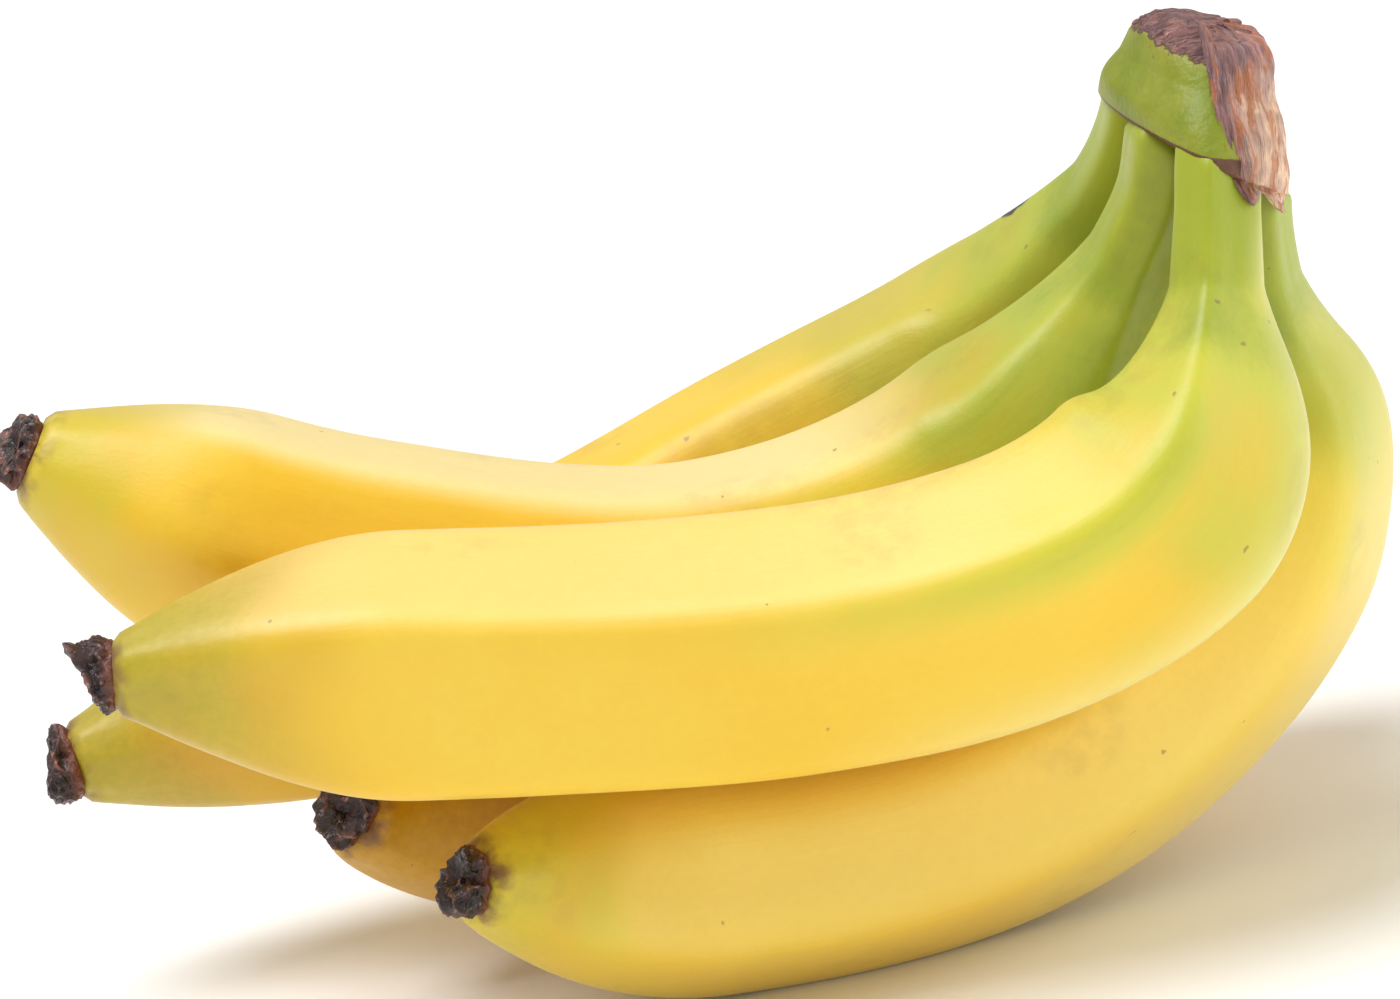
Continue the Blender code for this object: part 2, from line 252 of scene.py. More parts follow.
def section_at(run, length, angles, banana):
    """The section of a banana at one place along it."""
    body = float(np.clip((run - banana["neck_length"]) / banana["shoulder"], 0, 1))
    flatness = NECK_FLATNESS + (BODY_FLATNESS - NECK_FLATNESS) * body
    power = NECK_POWER + (BODY_POWER - NECK_POWER) * body
    soft = 0.5 + 0.5 * fade(length - run, 2.0, 46.0)
    ridges = np.array(banana["ridges"]) + banana["twist"] * (1 - run / length)
    return five_sided(angles, ridges, flatness * soft, power * soft)


around_once = np.linspace(0.0, 2 * math.pi, 72, endpoint=False)
for run in (10.0, 100.0, 200.0):
    section = section_at(run, 207.0, around_once, BANANAS["c"])
    proud = round(100 * (section.max() / section.min() - 1))
    print("banana c at", run, "mm: corners stand out by", proud, "%")

# %% [markdown]
# ## The skin of a banana
#
# Rings of points go round the line.  A few more rings carry the neck on into
# the crown, so that no gap shows where the two meet.
#
# Every point also remembers where it lies on a straightened banana.  Patterns
# that use that place follow the bend of the fruit.

# %% Rings of skin
RINGS = 215
INSIDE = 5
SIDES = 84
NEAR_SIDE = np.array((0.0, -1.0, 0.0))


def swell(places, size, seed):
    """Slow unevenness between about -0.5 and 0.5 at each place."""
    shift = Vector((17.3 * seed, 5.1 * seed, 31.7 * seed))
    return np.array([noise.noise(Vector(p) / size + shift) for p in places])


def skin_line(banana):
    """The middle line and run with the rings in the crown, and its three directions."""
    line, run = smooth_line(banana["route"], RINGS - INSIDE)
    more = np.arange(INSIDE, 0, -1)[:, None]
    line = np.vstack([line[0] + (line[0] - line[1]) * more, line]) + CENTRING
    run = np.concatenate([-run[1] * more[:, 0], run])
    ways = np.gradient(line, axis=0)
    ways /= np.linalg.norm(ways, axis=1)[:, None]
    near = NEAR_SIDE - (ways @ NEAR_SIDE)[:, None] * ways
    near /= np.linalg.norm(near, axis=1)[:, None]
    return line, run, ways, near, np.cross(ways, near)


def skin_reach(banana, run, angles):
    """How far each point is from the line, and its place on the straight banana."""
    reach = np.array([
        radius * section_at(at, run[-1], angles, banana)
        for at, radius in zip(run, half_thickness(run, banana))
    ])
    straight = np.stack(
        [np.repeat(run, SIDES), (reach * np.cos(angles)).ravel(),
         (reach * np.sin(angles)).ravel()], axis=1
    )
    return reach, straight


round_skin = np.linspace(0.0, 2 * math.pi, SIDES, endpoint=False)
trial_reach, trial_places = skin_reach(
    BANANAS["c"], skin_line(BANANAS["c"])[1], round_skin
)
print("one skin has", len(trial_places), "points, widest", round(trial_reach.max(), 1), "mm out")

# %% [markdown]
# ## Growth marks
#
# Small shape changes make it a fruit and not a swept pipe.  They are added to
# the reach of each point before the rings are placed: a big soft swell, a
# finer one, creases on the neck that follow the ridges, and a slight pucker
# before the tip.

# %% Growth marks in the shape
def growth(reach, run, angles, straight, banana, seed):
    """The reach of every point with the unevenness of a grown fruit."""
    length = run[-1]
    big = swell(straight, 30.0, seed).reshape(reach.shape)
    small = swell(straight * (0.35, 1, 1), 5.0, seed + 40).reshape(reach.shape)
    body = fade(run, banana["neck_length"], banana["neck_length"] + 25)[:, None]
    grown = reach + 0.5 * big * (0.3 + 0.7 * body) + 0.08 * small * body
    creases = np.cos(11 * angles + 0.6 * np.sin(2 * angles + seed))[None, :]
    grown += 0.035 * creases * (1 - body) * (0.6 + 0.4 * np.cos(0.35 * run))[:, None]
    left = (length - run)[:, None]
    pucker = np.exp(-((left - 3.5) / 2.6) ** 2)
    grown -= pucker * (0.05 + 0.10 * np.cos(9 * angles + seed))[None, :]
    return grown


print("growth marks stay under a millimetre")

# %% [markdown]
# ## Meshes out of rings
#
# Quads join each ring to the next, and a fan of triangles closes each end.
# Values at the points, such as how green the skin is there, are stored on
# the mesh by name, where a material can read them.

# %% Build one closed mesh
def tube_faces(rings, sides):
    """Quads between the rings and a fan at each end, facing out."""
    j = np.arange(sides)
    after = (j + 1) % sides
    faces = []
    for k in range(rings - 1):
        low = k * sides
        quad = np.stack([low + j, low + after, low + sides + after, low + sides + j], axis=1)
        faces += quad.tolist()
    first = rings * sides
    high = (rings - 1) * sides
    faces += [(first, int(b), int(a)) for a, b in zip(j, after)]
    faces += [(high + int(a), high + int(b), first + 1) for a, b in zip(j, after)]
    return faces


def with_ends(values):
    """Values of the rings, repeated for the middle points of the two fans."""
    return np.concatenate([values, values[:1], values[-1:]])


def piece_of(name, places, faces, finish, marks):
    """A smooth mesh object in metres with named values at its points."""
    mesh = bpy.data.meshes.new(name)
    mesh.from_pydata((np.asarray(places) * MM).tolist(), [], faces)
    mesh.materials.append(finish)
    mesh.polygons.foreach_set("use_smooth", [True] * len(mesh.polygons))
    for mark_name, values in marks.items():
        values = np.asarray(values, float)
        kind = "FLOAT_VECTOR" if values.ndim == 2 else "FLOAT"
        layer = mesh.attributes.new(mark_name, kind, "POINT")
        layer.data.foreach_set("vector" if values.ndim == 2 else "value", values.ravel())
    made = bpy.data.objects.new(name, mesh)
    bpy.context.scene.collection.objects.link(made)
    return made


print("a skin has", len(tube_faces(RINGS, SIDES)), "faces")

# %% [markdown]
# ## Nodes in plain lines
#
# A material is a chain of nodes.  Wiring each one by hand takes three lines,
# so a few short helpers keep the chains readable: they add a node, blend two
# colours, map a value, and read what the mesh has stored.

# %% Node helpers
def plug(tree, node, name, value):
    """Sets one input, from a plain value or from another node's socket."""
    if isinstance(value, bpy.types.NodeSocket):
        tree.links.new(value, node.inputs[name])
    else:
        node.inputs[name].default_value = value


def add(tree, kind, plugs=None, **settings):
    """A node with its settings; plugs are plain values or other sockets."""
    node = tree.nodes.new(kind)
    for name, value in settings.items():
        setattr(node, name, value)
    for name, value in (plugs or {}).items():
        plug(tree, node, name, value)
    return node


def sum_up(tree, operation, first, second, limit=False):
    """One step of arithmetic on values."""
    node = add(tree, "ShaderNodeMath", {0: first, 1: second}, operation=operation)
    node.use_clamp = limit
    return node.outputs[0]


def swing(tree, value, share):
    """The value's swing above and below a half, times a share."""
    return sum_up(tree, "MULTIPLY", sum_up(tree, "SUBTRACT", value, 0.5), share)


def blend(tree, share, first, second, way="MIX"):
    """The second colour over the first, by share."""
    node = add(tree, "ShaderNodeMix", {0: share}, data_type="RGBA", blend_type=way)
    for place, value in ((6, first), (7, second)):
        plug(tree, node, place, (*value, 1.0) if isinstance(value, tuple) else value)
    return node.outputs[2]


def steps(tree, value, low, high, to_low=0.0, to_high=1.0):
    """The value mapped from low..high, with a smooth start and end."""
    node = add(
        tree, "ShaderNodeMapRange",
        {"Value": value, "From Min": low, "From Max": high,
         "To Min": to_low, "To Max": to_high},
        interpolation_type="SMOOTHSTEP",
    )
    return node.outputs[0]


def mark(tree, name, kind="Fac"):
    """A value stored at the points of the mesh."""
    return add(tree, "ShaderNodeAttribute", attribute_name=name).outputs[kind]


print("helpers: plug, add, sum_up, swing, blend, steps, mark")

# %% [markdown]
# ## Starting and ending a material
#
# Each material starts with its shader.  Settings that are the same all over,
# such as how far light goes into the skin, are set on the shader itself, and
# fine relief comes from a bump, which is cheaper than a still finer mesh.

# %% Material helpers
def finish_named(name):
    """An empty node material with its shader, and the tree."""
    made = bpy.data.materials.new(name)
    made.use_nodes = True
    tree = made.node_tree
    return made, tree, tree.nodes["Principled BSDF"]


def everywhere(shader, values):
    """Shader settings that are the same all over."""
    for name, value in values.items():
        shader.inputs[name].default_value = value


def relief(tree, shader, height, strength, depth):
    """Fine relief from a height; depth is in metres."""
    bump = add(tree, "ShaderNodeBump", {"Height": height, "Strength": strength, "Distance": depth})
    tree.links.new(bump.outputs[0], shader.inputs["Normal"])


print("helpers: finish_named, everywhere, relief")

# %% [markdown]
# ## Effects that several tissues share
#
# Mottle, fibres and specks are each a node group.  Copying the nodes into
# every material would work too, but then a change has to be made many times.
# A group is built once, and every material sets its own size and strength.

# %% A group with named inputs and outputs
VALUE, PLACE = "NodeSocketFloat", "NodeSocketVector"


def new_group(name, inputs):
    """An empty node group that puts out a mask, and its two end nodes."""
    tree = bpy.data.node_groups.new(name, "ShaderNodeTree")
    tree.interface.new_socket("Place", in_out="INPUT", socket_type=PLACE)
    for label, value in inputs.items():
        socket = tree.interface.new_socket(label, in_out="INPUT", socket_type=VALUE)
        socket.default_value = value
    tree.interface.new_socket("Mask", in_out="OUTPUT", socket_type=VALUE)
    return tree, tree.nodes.new("NodeGroupInput").outputs, tree.nodes.new("NodeGroupOutput")


def use(tree, group, plugs):
    """The mask of one copy of a node group inside a material."""
    node = add(tree, "ShaderNodeGroup")
    node.node_tree = group
    for name, value in plugs.items():
        plug(tree, node, name, value)
    return node.outputs["Mask"]


def window(tree, value, softness):
    """The middle of a noise spread over 0 to 1; less softness is a harder edge."""
    low = sum_up(tree, "SUBTRACT", 0.5, softness)
    high = sum_up(tree, "ADD", 0.5, softness)
    return steps(tree, value, low, high)


def stretched(tree, place, along, across):
    """The place scaled along the fruit and across it."""
    scale = add(tree, "ShaderNodeCombineXYZ", {0: along, 1: across, 2: across})
    node = add(tree, "ShaderNodeVectorMath", {0: place, 1: scale.outputs[0]},
               operation="MULTIPLY")
    return node.outputs[0]


print("helpers: new_group, use, window, stretched")

# %% [markdown]
# ## Soft mottle
#
# The slow change of tone in any living skin.  It is a cloud of noise, of
# which only the middle is kept.  A picture of skin could do the same, but it
# would have a seam and one fixed size.

# %% Soft mottle
mottle, given, end = new_group("soft mottle", {"Size": 10.0, "Detail": 3.0, "Softness": 0.3})
cloud = add(
    mottle, "ShaderNodeTexNoise",
    {"Vector": given["Place"], "Scale": sum_up(mottle, "DIVIDE", 1.0, given["Size"]),
     "Detail": given["Detail"], "Roughness": 0.55},
)
mottle.links.new(window(mottle, cloud.outputs["Fac"], given["Softness"]), end.inputs["Mask"])
print("group:", mottle.name)

# %% [markdown]
# ## Fibres
#
# Threads run along the fruit: hardly visible in the peel, very plain in the
# dry stalk.  They are the same kind of noise, drawn out along the fruit.

# %% Fibres
fibres, given, end = new_group("fibres", {"Length": 30.0, "Width": 0.6, "Softness": 0.25})
longways = sum_up(fibres, "DIVIDE", 1.0, given["Length"])
sideways = sum_up(fibres, "DIVIDE", 1.0, given["Width"])
threads = add(
    fibres, "ShaderNodeTexNoise",
    {"Vector": stretched(fibres, given["Place"], longways, sideways), "Scale": 1.0,
     "Detail": 4.0, "Roughness": 0.6, "Distortion": 0.4},
)
fibres.links.new(window(fibres, threads.outputs["Fac"], given["Softness"]), end.inputs["Mask"])
print("group:", fibres.name)

# %% [markdown]
# ## Specks
#
# Small brown dots, and scratches where they are stretched.  Cells of random
# points give one dot each.  Only a share of the cells gets one, each of its
# own size, and a wobble in the place keeps the dots from being round.

# %% Specks
specks, given, end = new_group(
    "brown specks", {"Spacing": 6.0, "Size": 0.1, "Share": 0.3, "Stretch": 1.0}
)
shorter = sum_up(specks, "DIVIDE", 1.0, given["Stretch"])
drawn = stretched(specks, given["Place"], shorter, 1.0)
wobble = add(specks, "ShaderNodeTexNoise", {"Vector": drawn, "Scale": 1.1})
moved = add(
    specks, "ShaderNodeVectorMath", {0: wobble.outputs["Color"], 1: drawn}, operation="ADD"
)
cells = add(
    specks, "ShaderNodeTexVoronoi",
    {"Vector": moved.outputs[0], "Scale": sum_up(specks, "DIVIDE", 1.0, given["Spacing"])},
    feature="F1",
)
luck = add(specks, "ShaderNodeSeparateColor", {"Color": cells.outputs["Color"]})
size = sum_up(specks, "MULTIPLY", given["Size"], sum_up(specks, "ADD", 0.4, luck.outputs["Green"]))
dot = steps(specks, sum_up(specks, "DIVIDE", cells.outputs["Distance"], size), 1.0, 0.5)
chosen = sum_up(specks, "LESS_THAN", luck.outputs["Red"], given["Share"])
specks.links.new(sum_up(specks, "MULTIPLY", dot, chosen), end.inputs["Mask"])
print("group:", specks.name)

# %% [markdown]
# ## The tones of ripe peel
#
# Peel is mixed in the order in which it ripens: green, then yellow, then
# brown.  Where it is still green is stored at the points of the mesh, because
# it follows the neck, the shoulder and single ridges, and no noise would know
# where those are.  Noise only makes the border of each area uneven.

# %% Ripening
LEMON = (0.90, 0.645, 0.055)
GOLD = (0.89, 0.525, 0.008)
DULL_AND_SHADE = (0.62, 0.50, 0.20)
# painted highlight laid over the top of the peel
HIGHLIGHT_CREAM = (0.94, 0.75, 0.30)
OLIVE = (0.70, 0.82, 0.95)
# painted highlight for one side of bananas c and d
SIDE_HIGHLIGHT_COLOUR = (0.86, 0.80, 0.36)
LEAF = (0.35, 0.42, 0.020)
LIME = (0.66, 0.62, 0.045)
AMBER = (0.80, 0.55, 0.10)
BROWN = (0.20, 0.085, 0.03)
SOOT = (0.035, 0.022, 0.018)


def ripening(tree, golden, broad, fine, thread):
    """The colour of sound peel: its yellow, a painted highlight on top, what is green in it, and a
    painted highlight on one side.
    """
    tone = sum_up(tree, "ADD", sum_up(tree, "MULTIPLY", broad, 0.55), golden - 0.25, True)
    colour = blend(tree, tone, LEMON, GOLD)
    # painted highlight: cream on the top side, where the light falls
    colour = blend(tree, mark(tree, "top_highlight"), colour, HIGHLIGHT_CREAM)
    green = mark(tree, "green")
    patchy = sum_up(tree, "ADD", swing(tree, fine, 0.12), swing(tree, thread, 0.07))
    patchy = sum_up(tree, "MULTIPLY", patchy, steps(tree, green, 0.0, 0.5))
    uneven = sum_up(tree, "ADD", green, patchy)
    colour = blend(tree, steps(tree, uneven, 0.0, 0.55), colour, LIME)
    colour = blend(tree, steps(tree, uneven, 0.45, 1.0), colour, LEAF)
    colour = blend(tree, mark(tree, "unripe"), colour, OLIVE, "MULTIPLY")
    # painted highlight: a pale colour over one side that faces the light
    colour = blend(tree, mark(tree, "pale"), colour, SIDE_HIGHLIGHT_COLOUR)
    shade = sum_up(tree, "MULTIPLY", sum_up(tree, "SUBTRACT", 1.0, fine), 0.10)
    return blend(tree, shade, colour, AMBER, "MULTIPLY")


print("tones from", LEMON, "to", SOOT)

# %% [markdown]
# ## Wear and painted tip shade on the peel
#
# Skin near the tip is darker, partly dull old skin and partly painted shade;
# rubbed places turn brown, and one shoulder has a dark scar.  Dots and nicks
# are scattered over all of it.  They are mixed over the ripe colour, in the order
# in which they came.

# %% Wear and painted tip shade
def wear(tree, colour, place, fine):
    """The colour with its worn areas and painted tip shade, and the mask of dots and nicks."""
    # dull: duller old skin near the tip, and painted shade on the tips of bananas a and e
    dull = sum_up(tree, "MULTIPLY", mark(tree, "dull"), steps(tree, fine, 0.0, 1.0, 0.8, 1.0))
    colour = blend(tree, dull, colour, DULL_AND_SHADE, "MULTIPLY")
    smudge = use(tree, mottle, {"Place": place, "Size": 4.0, "Detail": 5.0, "Softness": 0.16})
    colour = blend(tree, sum_up(tree, "MULTIPLY", mark(tree, "tired"), smudge), colour, BROWN)
    dots = use(tree, specks, {"Place": place, "Spacing": 5.5, "Size": 0.085, "Share": 0.22})
    nicks = use(tree, specks, {"Place": place, "Spacing": 4.2, "Size": 0.06, "Share": 0.10,
                               "Stretch": 4.5})
    marks = sum_up(tree, "MAXIMUM", sum_up(tree, "MULTIPLY", dots, 0.55),
                   sum_up(tree, "MULTIPLY", nicks, 0.35))
    colour = blend(tree, marks, colour, BROWN)
    scar = sum_up(tree, "ADD", mark(tree, "scar"), swing(tree, smudge, 0.6))
    return blend(tree, steps(tree, scar, 0.35, 0.75), colour, SOOT), marks


print("wear: dull, tired, dots, nicks, scar")

# %% [markdown]
# ## Ripe peel
#
# Ripe peel is a thin waxy skin over a pale, slightly clear layer.  So it has
# a soft shine, a thin coat over it, and a little light that goes into the
# surface.  Each banana gets its own material, because they ripen one by one;
# the deep gold of banana e is painted shade.

# %% The peel materials
def peel(name, golden, seed):
    """Peel for one banana; golden moves its tone from lemon to gold."""
    made, tree, shader = finish_named(name)
    place = add(
        tree, "ShaderNodeVectorMath",
        {0: mark(tree, "straight", "Vector"), 1: (91.0 * seed, 37.0 * seed, 0.0)},
        operation="ADD",
    ).outputs[0]
    broad = use(tree, mottle, {"Place": place, "Size": 34.0, "Detail": 2.0, "Softness": 0.28})
    fine = use(tree, mottle, {"Place": place, "Size": 1.6, "Detail": 4.0, "Softness": 0.4})
    thread = use(tree, fibres, {"Place": place, "Length": 28.0, "Width": 1.1, "Softness": 0.3})
    colour = ripening(tree, golden, broad, fine, thread)
    colour, marks = wear(tree, colour, place, fine)
    tree.links.new(colour, shader.inputs["Base Color"])
    tree.links.new(steps(tree, fine, 0.0, 1.0, 0.40, 0.50), shader.inputs["Roughness"])
    everywhere(shader, {
        "IOR": 1.42, "Coat Weight": 0.25, "Coat Roughness": 0.35,
        "Sheen Weight": 0.12, "Sheen Roughness": 0.45, "Subsurface Weight": 0.10,
        "Subsurface Radius": (1.0, 0.6, 0.15), "Subsurface Scale": 0.003,
    })
    height = sum_up(tree, "ADD", sum_up(tree, "MULTIPLY", fine, 0.5),
                    sum_up(tree, "MULTIPLY", thread, 0.5))
    height = sum_up(tree, "SUBTRACT", height, sum_up(tree, "MULTIPLY", marks, 0.8))
    relief(tree, shader, height, 0.5, 0.00012)
    return made


# the deep gold of banana e is painted shade, where it lies under c and d
GOLDEN = {"a": 0.35, "b": 0.75, "c": 0.34, "d": 0.18, "e": 0.90}
PEELS = {
    letter: peel("ripe_peel_" + letter, golden, seed)
    for seed, (letter, golden) in enumerate(GOLDEN.items(), start=1)
}
print("peel materials:", len(PEELS))

# %% [markdown]
# ## Where the peel is still green
#
# Each banana stays green longest on the neck, along one or two ridges of the
# shoulder, and a little at the tip.  Such an area is easy to say in two
# numbers that every point has: how far along the fruit it is, and at which
# angle round it.  A slow wander keeps the borders from being straight.

# %% Green skin
def turned_from(around, degrees):
    """How many degrees each point is round from an angle, to either side."""
    return np.degrees(np.angle(np.exp(1j * (around - np.radians(degrees)))))


def near_angle(around, degrees, width):
    """1 on a line along the fruit, fading over a width in degrees."""
    return np.exp(-((turned_from(around, degrees) / width) ** 2))


# angle, width, start, end and strength of each green side
GREEN_SIDES = {
    "a": ((-10, 70, 30, 100, 0.62),),
    "b": ((40, 16, 40, 100, 0.62), (0, 50, 34, 78, 0.72)),
    "c": ((20, 15, 45, 118, 0.60), (-60, 30, 34, 66, 0.28)),
    "d": ((40, 45, 30, 78, 0.62), (-30, 50, 30, 58, 0.5)),
    "e": ((30, 40, 30, 60, 0.5),),
}
TIP_GREEN = {"a": 0.50, "b": 0.34, "c": 0.46, "d": 0.36, "e": 0.12}


def greenness(letter, along, around, straight, seed):
    """How green each point is, 0 to 1."""
    wander = 12 * swell(straight, 11.0, seed + 7)
    start = BANANAS[letter]["neck_length"]
    green = 1 - 0.55 * fade(along + wander, start - 10, start + 24)
    green *= 1 - fade(along + 2 * wander, start + 4, start + 66)
    for degrees, width, begin, finish, strength in GREEN_SIDES[letter]:
        run = fade(along, begin - 20, begin) * (1 - fade(along + wander, begin, finish + 30))
        green = np.maximum(green, strength * near_angle(around, degrees, width) * run)
    left = along.max() - along
    tip = TIP_GREEN[letter] * (1 - fade(left + wander, -4.0, 34.0))
    return np.clip(np.maximum(green, tip), 0, 1)


print("green sides:", {letter: len(sides) for letter, sides in GREEN_SIDES.items()})

# %% [markdown]
# ## Where the peel is duller or paler
#
# Between green and yellow lies an olive shoulder.  A painted highlight makes
# one side of two bananas paler, where light falls on it, and another painted
# highlight lays cream over the top, where the overhead light falls.  All three
# are broad and soft, so each is a product of a few fades along the fruit and round it.

# %% Unripe shoulder, painted side highlights and painted top highlight
# strength, and where it starts and ends to fade
UNRIPE = {"a": (1.0, 80, 116), "b": (1.0, 56, 82), "c": (0.45, 46, 66), "d": (0.6, 40, 56),
          "e": (0.8, 50, 80)}
# angle, width, start, end and strength of each painted side highlight
SIDE_HIGHLIGHTS = {"c": (300, 20, 12, 105, 0.70), "d": (275, 45, 24, 130, 0.36)}
# where the painted top highlight faces, and how strong it is
TOP_HIGHLIGHT_SIDE = {"a": 95, "b": 100, "c": 78, "d": 20, "e": 90}
TOP_HIGHLIGHT_SHARE = {"a": 0.0, "b": 1.0, "c": 0.50, "d": 0.25, "e": 0.1}


def untwisted(letter, along, around):
    """The angle round the fruit, counted from the turned ridges."""
    return around - np.radians(BANANAS[letter]["twist"]) * (1 - along / along.max())


def unripeness(letter, along, straight, seed):
    """The duller, greener yellow of the shoulder."""
    strength, start, end = UNRIPE[letter]
    wander = 10 * swell(straight, 14.0, seed + 5)
    return strength * fade(along, 14, 34) * (1 - fade(along + wander, start, end))


def side_highlight(letter, along, around):
    """Painted highlight: a paler colour on a side that faces the light."""
    if letter not in SIDE_HIGHLIGHTS:
        return np.zeros(len(along))
    degrees, width, start, end, strength = SIDE_HIGHLIGHTS[letter]
    run = fade(along, start - 8, start + 6) * (1 - fade(along, end - 30, end + 10))
    return strength * run * near_angle(untwisted(letter, along, around), degrees, width)


def top_highlight(letter, along, around):
    """Painted highlight: a pale cream on the side turned to the light."""
    off = np.abs(turned_from(untwisted(letter, along, around), TOP_HIGHLIGHT_SIDE[letter]))
    shown = TOP_HIGHLIGHT_SHARE[letter] * (1 - fade(off, 34, 50))
    return shown * fade(along.max() - along, 2, 26) * fade(along, 46, 92)


print("pale sides on:", ", ".join(SIDE_HIGHLIGHTS))

# %% [markdown]
# ## Where the peel is old, and painted shade at the tips
#
# The tip browns first, and the skin behind it is darker: duller old skin at
# every tip, and painted shade on the tips of bananas a and e.  A few smudges lie
# on the body, one banana is rubbed near its tip, and one has a scar on its shoulder.

# %% Tired skin, dull tips with painted shade, and a scar
# strength, and how far the dull tone comes up from the tip; on a and e it is partly painted shade
TIP_DULL_AND_SHADE = {"a": (0.85, 46), "b": (0.25, 26), "c": (0.8, 40), "d": (0.3, 24), "e": (1.0, 75)}
RUBBED, SCARRED = "c", "a"


def spot(along, around, middle, degrees, length, width):
    """A soft patch at one place of the skin."""
    return near_angle(around, degrees, width) * np.exp(-(((along - middle) / length) ** 2))


def tiredness(letter, along, around, straight, seed):
    """Brown showing through: at the very tip and in a few pale smudges."""
    left = along.max() - along
    tip = 0.9 * (1 - fade(left, 0.2, 3.2))
    smudges = fade(swell(straight * (0.6, 1, 1), 16.0, seed + 90), 0.30, 0.48)
    rubbed = spot(left, around, 50, 84, 6.0, 7) if letter == RUBBED else 0.0
    return np.clip(tip + 0.12 * smudges + 0.16 * rubbed, 0, 1)


def dullness_and_shade(letter, along, straight, seed):
    """The deeper tone near the tip: duller old peel, with painted shade on a and e."""
    strength, length = TIP_DULL_AND_SHADE[letter]
    wander = 8 * swell(straight, 14.0, seed + 3)
    return strength * (1 - fade(along.max() - along + wander, 0.25 * length, length))


def scarring(letter, along, around):
    """Where a rub left a dark scar on a shoulder."""
    if letter != SCARRED:
        return np.zeros(len(along))
    return spot(along, around, 39, 122, 5.5, 9)


print("rubbed:", RUBBED, " scarred:", SCARRED)

# %% [markdown]
# ## Five bananas
#
# Each skin is placed ring by ring.  The neck narrows from where it enters the
# crown, so that it stays hidden in it.  The two bananas that the bunch lies
# on are kept just above the floor, so their bellies are slightly flat there,
# as in the solid.

# %% Make the bananas
FLOOR_GAP = 0.05
TIP_ROUNDING = 1.6
HIDDEN_NARROWING = 0.60


def placed_skin(banana, reach, lines):
    """The points of the skin, narrowed inside the crown and kept off the floor."""
    line, run, ways, near, inside = lines
    rounding = np.clip(1 - (run[-1] - run) / TIP_ROUNDING, 0, 1)
    reach = reach * (0.86 + 0.14 * np.sqrt(np.clip(1 - rounding**2, 0.0, 1.0)))[:, None]
    placed = line[:, None] + reach[..., None] * (
        np.cos(round_skin)[None, :, None] * near[:, None]
        + np.sin(round_skin)[None, :, None] * inside[:, None]
    )
    tilt = math.radians(FOOT_TILT)
    into_crown = np.array((math.sin(tilt), 0.0, math.cos(tilt)))
    above = (placed - CENTRING - np.array(banana["foot"])) @ into_crown
    narrow = 1 - HIDDEN_NARROWING * fade(above, 0.0, 4.6)
    placed = line[:, None] + (placed - line[:, None]) * narrow[..., None]
    placed = placed.reshape(-1, 3)
    placed[:, 2] = np.maximum(placed[:, 2], FLOOR_GAP)
    return np.vstack([placed, line[0], line[-1]])


def make_banana(letter, seed):
    """One banana with its peel and its marks, and what its flower needs of its tip."""
    banana = BANANAS[letter]
    lines = skin_line(banana)
    line, run, ways, near, inside = lines
    reach, straight = skin_reach(banana, run, round_skin)
    reach = growth(reach, run, round_skin, straight, banana, seed)
    along = np.repeat(run, SIDES)
    around = np.tile(round_skin, RINGS)
    marks = {
        "green": greenness(letter, along, around, straight, seed),
        "unripe": unripeness(letter, along, straight, seed),
        # pale: a painted highlight on one side
        "pale": side_highlight(letter, along, around),
        # painted highlight on the side turned to the light
        "top_highlight": top_highlight(letter, along, around),
        "tired": tiredness(letter, along, around, straight, seed),
        "dull": dullness_and_shade(letter, along, straight, seed),
        "scar": scarring(letter, along, around),
    }
    marks = {name: with_ends(values) for name, values in marks.items()}
    marks["straight"] = np.vstack([straight, [0, 0, 0], [run[-1], 0, 0]])
    made = piece_of("banana_" + letter, placed_skin(banana, reach, lines),
                    tube_faces(RINGS, SIDES), PEELS[letter], marks)
    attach(made, "root")
    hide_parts("finger_" + letter)
    return made, line[-1], ways[-1], near[-1], inside[-1], half_thickness(run, banana)[-1]


tips = {}
for seed, letter in enumerate(BANANAS, start=1):
    made, *tips[letter] = make_banana(letter, seed)
    low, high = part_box("finger_" + letter)
    mine = np.array([v.co for v in made.data.vertices])
    off = max(np.abs(mine.min(axis=0) - low).max(), np.abs(mine.max(axis=0) - high).max())
    print(made.name, "differs from the solid's box by", round(1000 * off, 2), "mm")

# %% [markdown]
# ## The outline of the crown
#
# The crown is the cushion that the necks grow from.  At its foot it wraps the
# five necks, and at its top it was cut from the stalk.  Its outline at any
# height is a soft hull round five places: each direction is pulled towards
# the necks that lie that way.

# %% Crown sizes, from the solid model
NECK_FEET = np.array([banana["foot"] for banana in BANANAS.values()])
CUT_MIDDLE = np.array((85.2, -6.5, 124.7))
CUT_SPREAD = 0.5
CUT_TILT = 14.0
CUT_SLOPE_BACK = 0.11
CROWN_RADIUS = 6.9
CROWN_BELLY = 0.9
WRAP = 0.35
CROWN_SIDES = 150


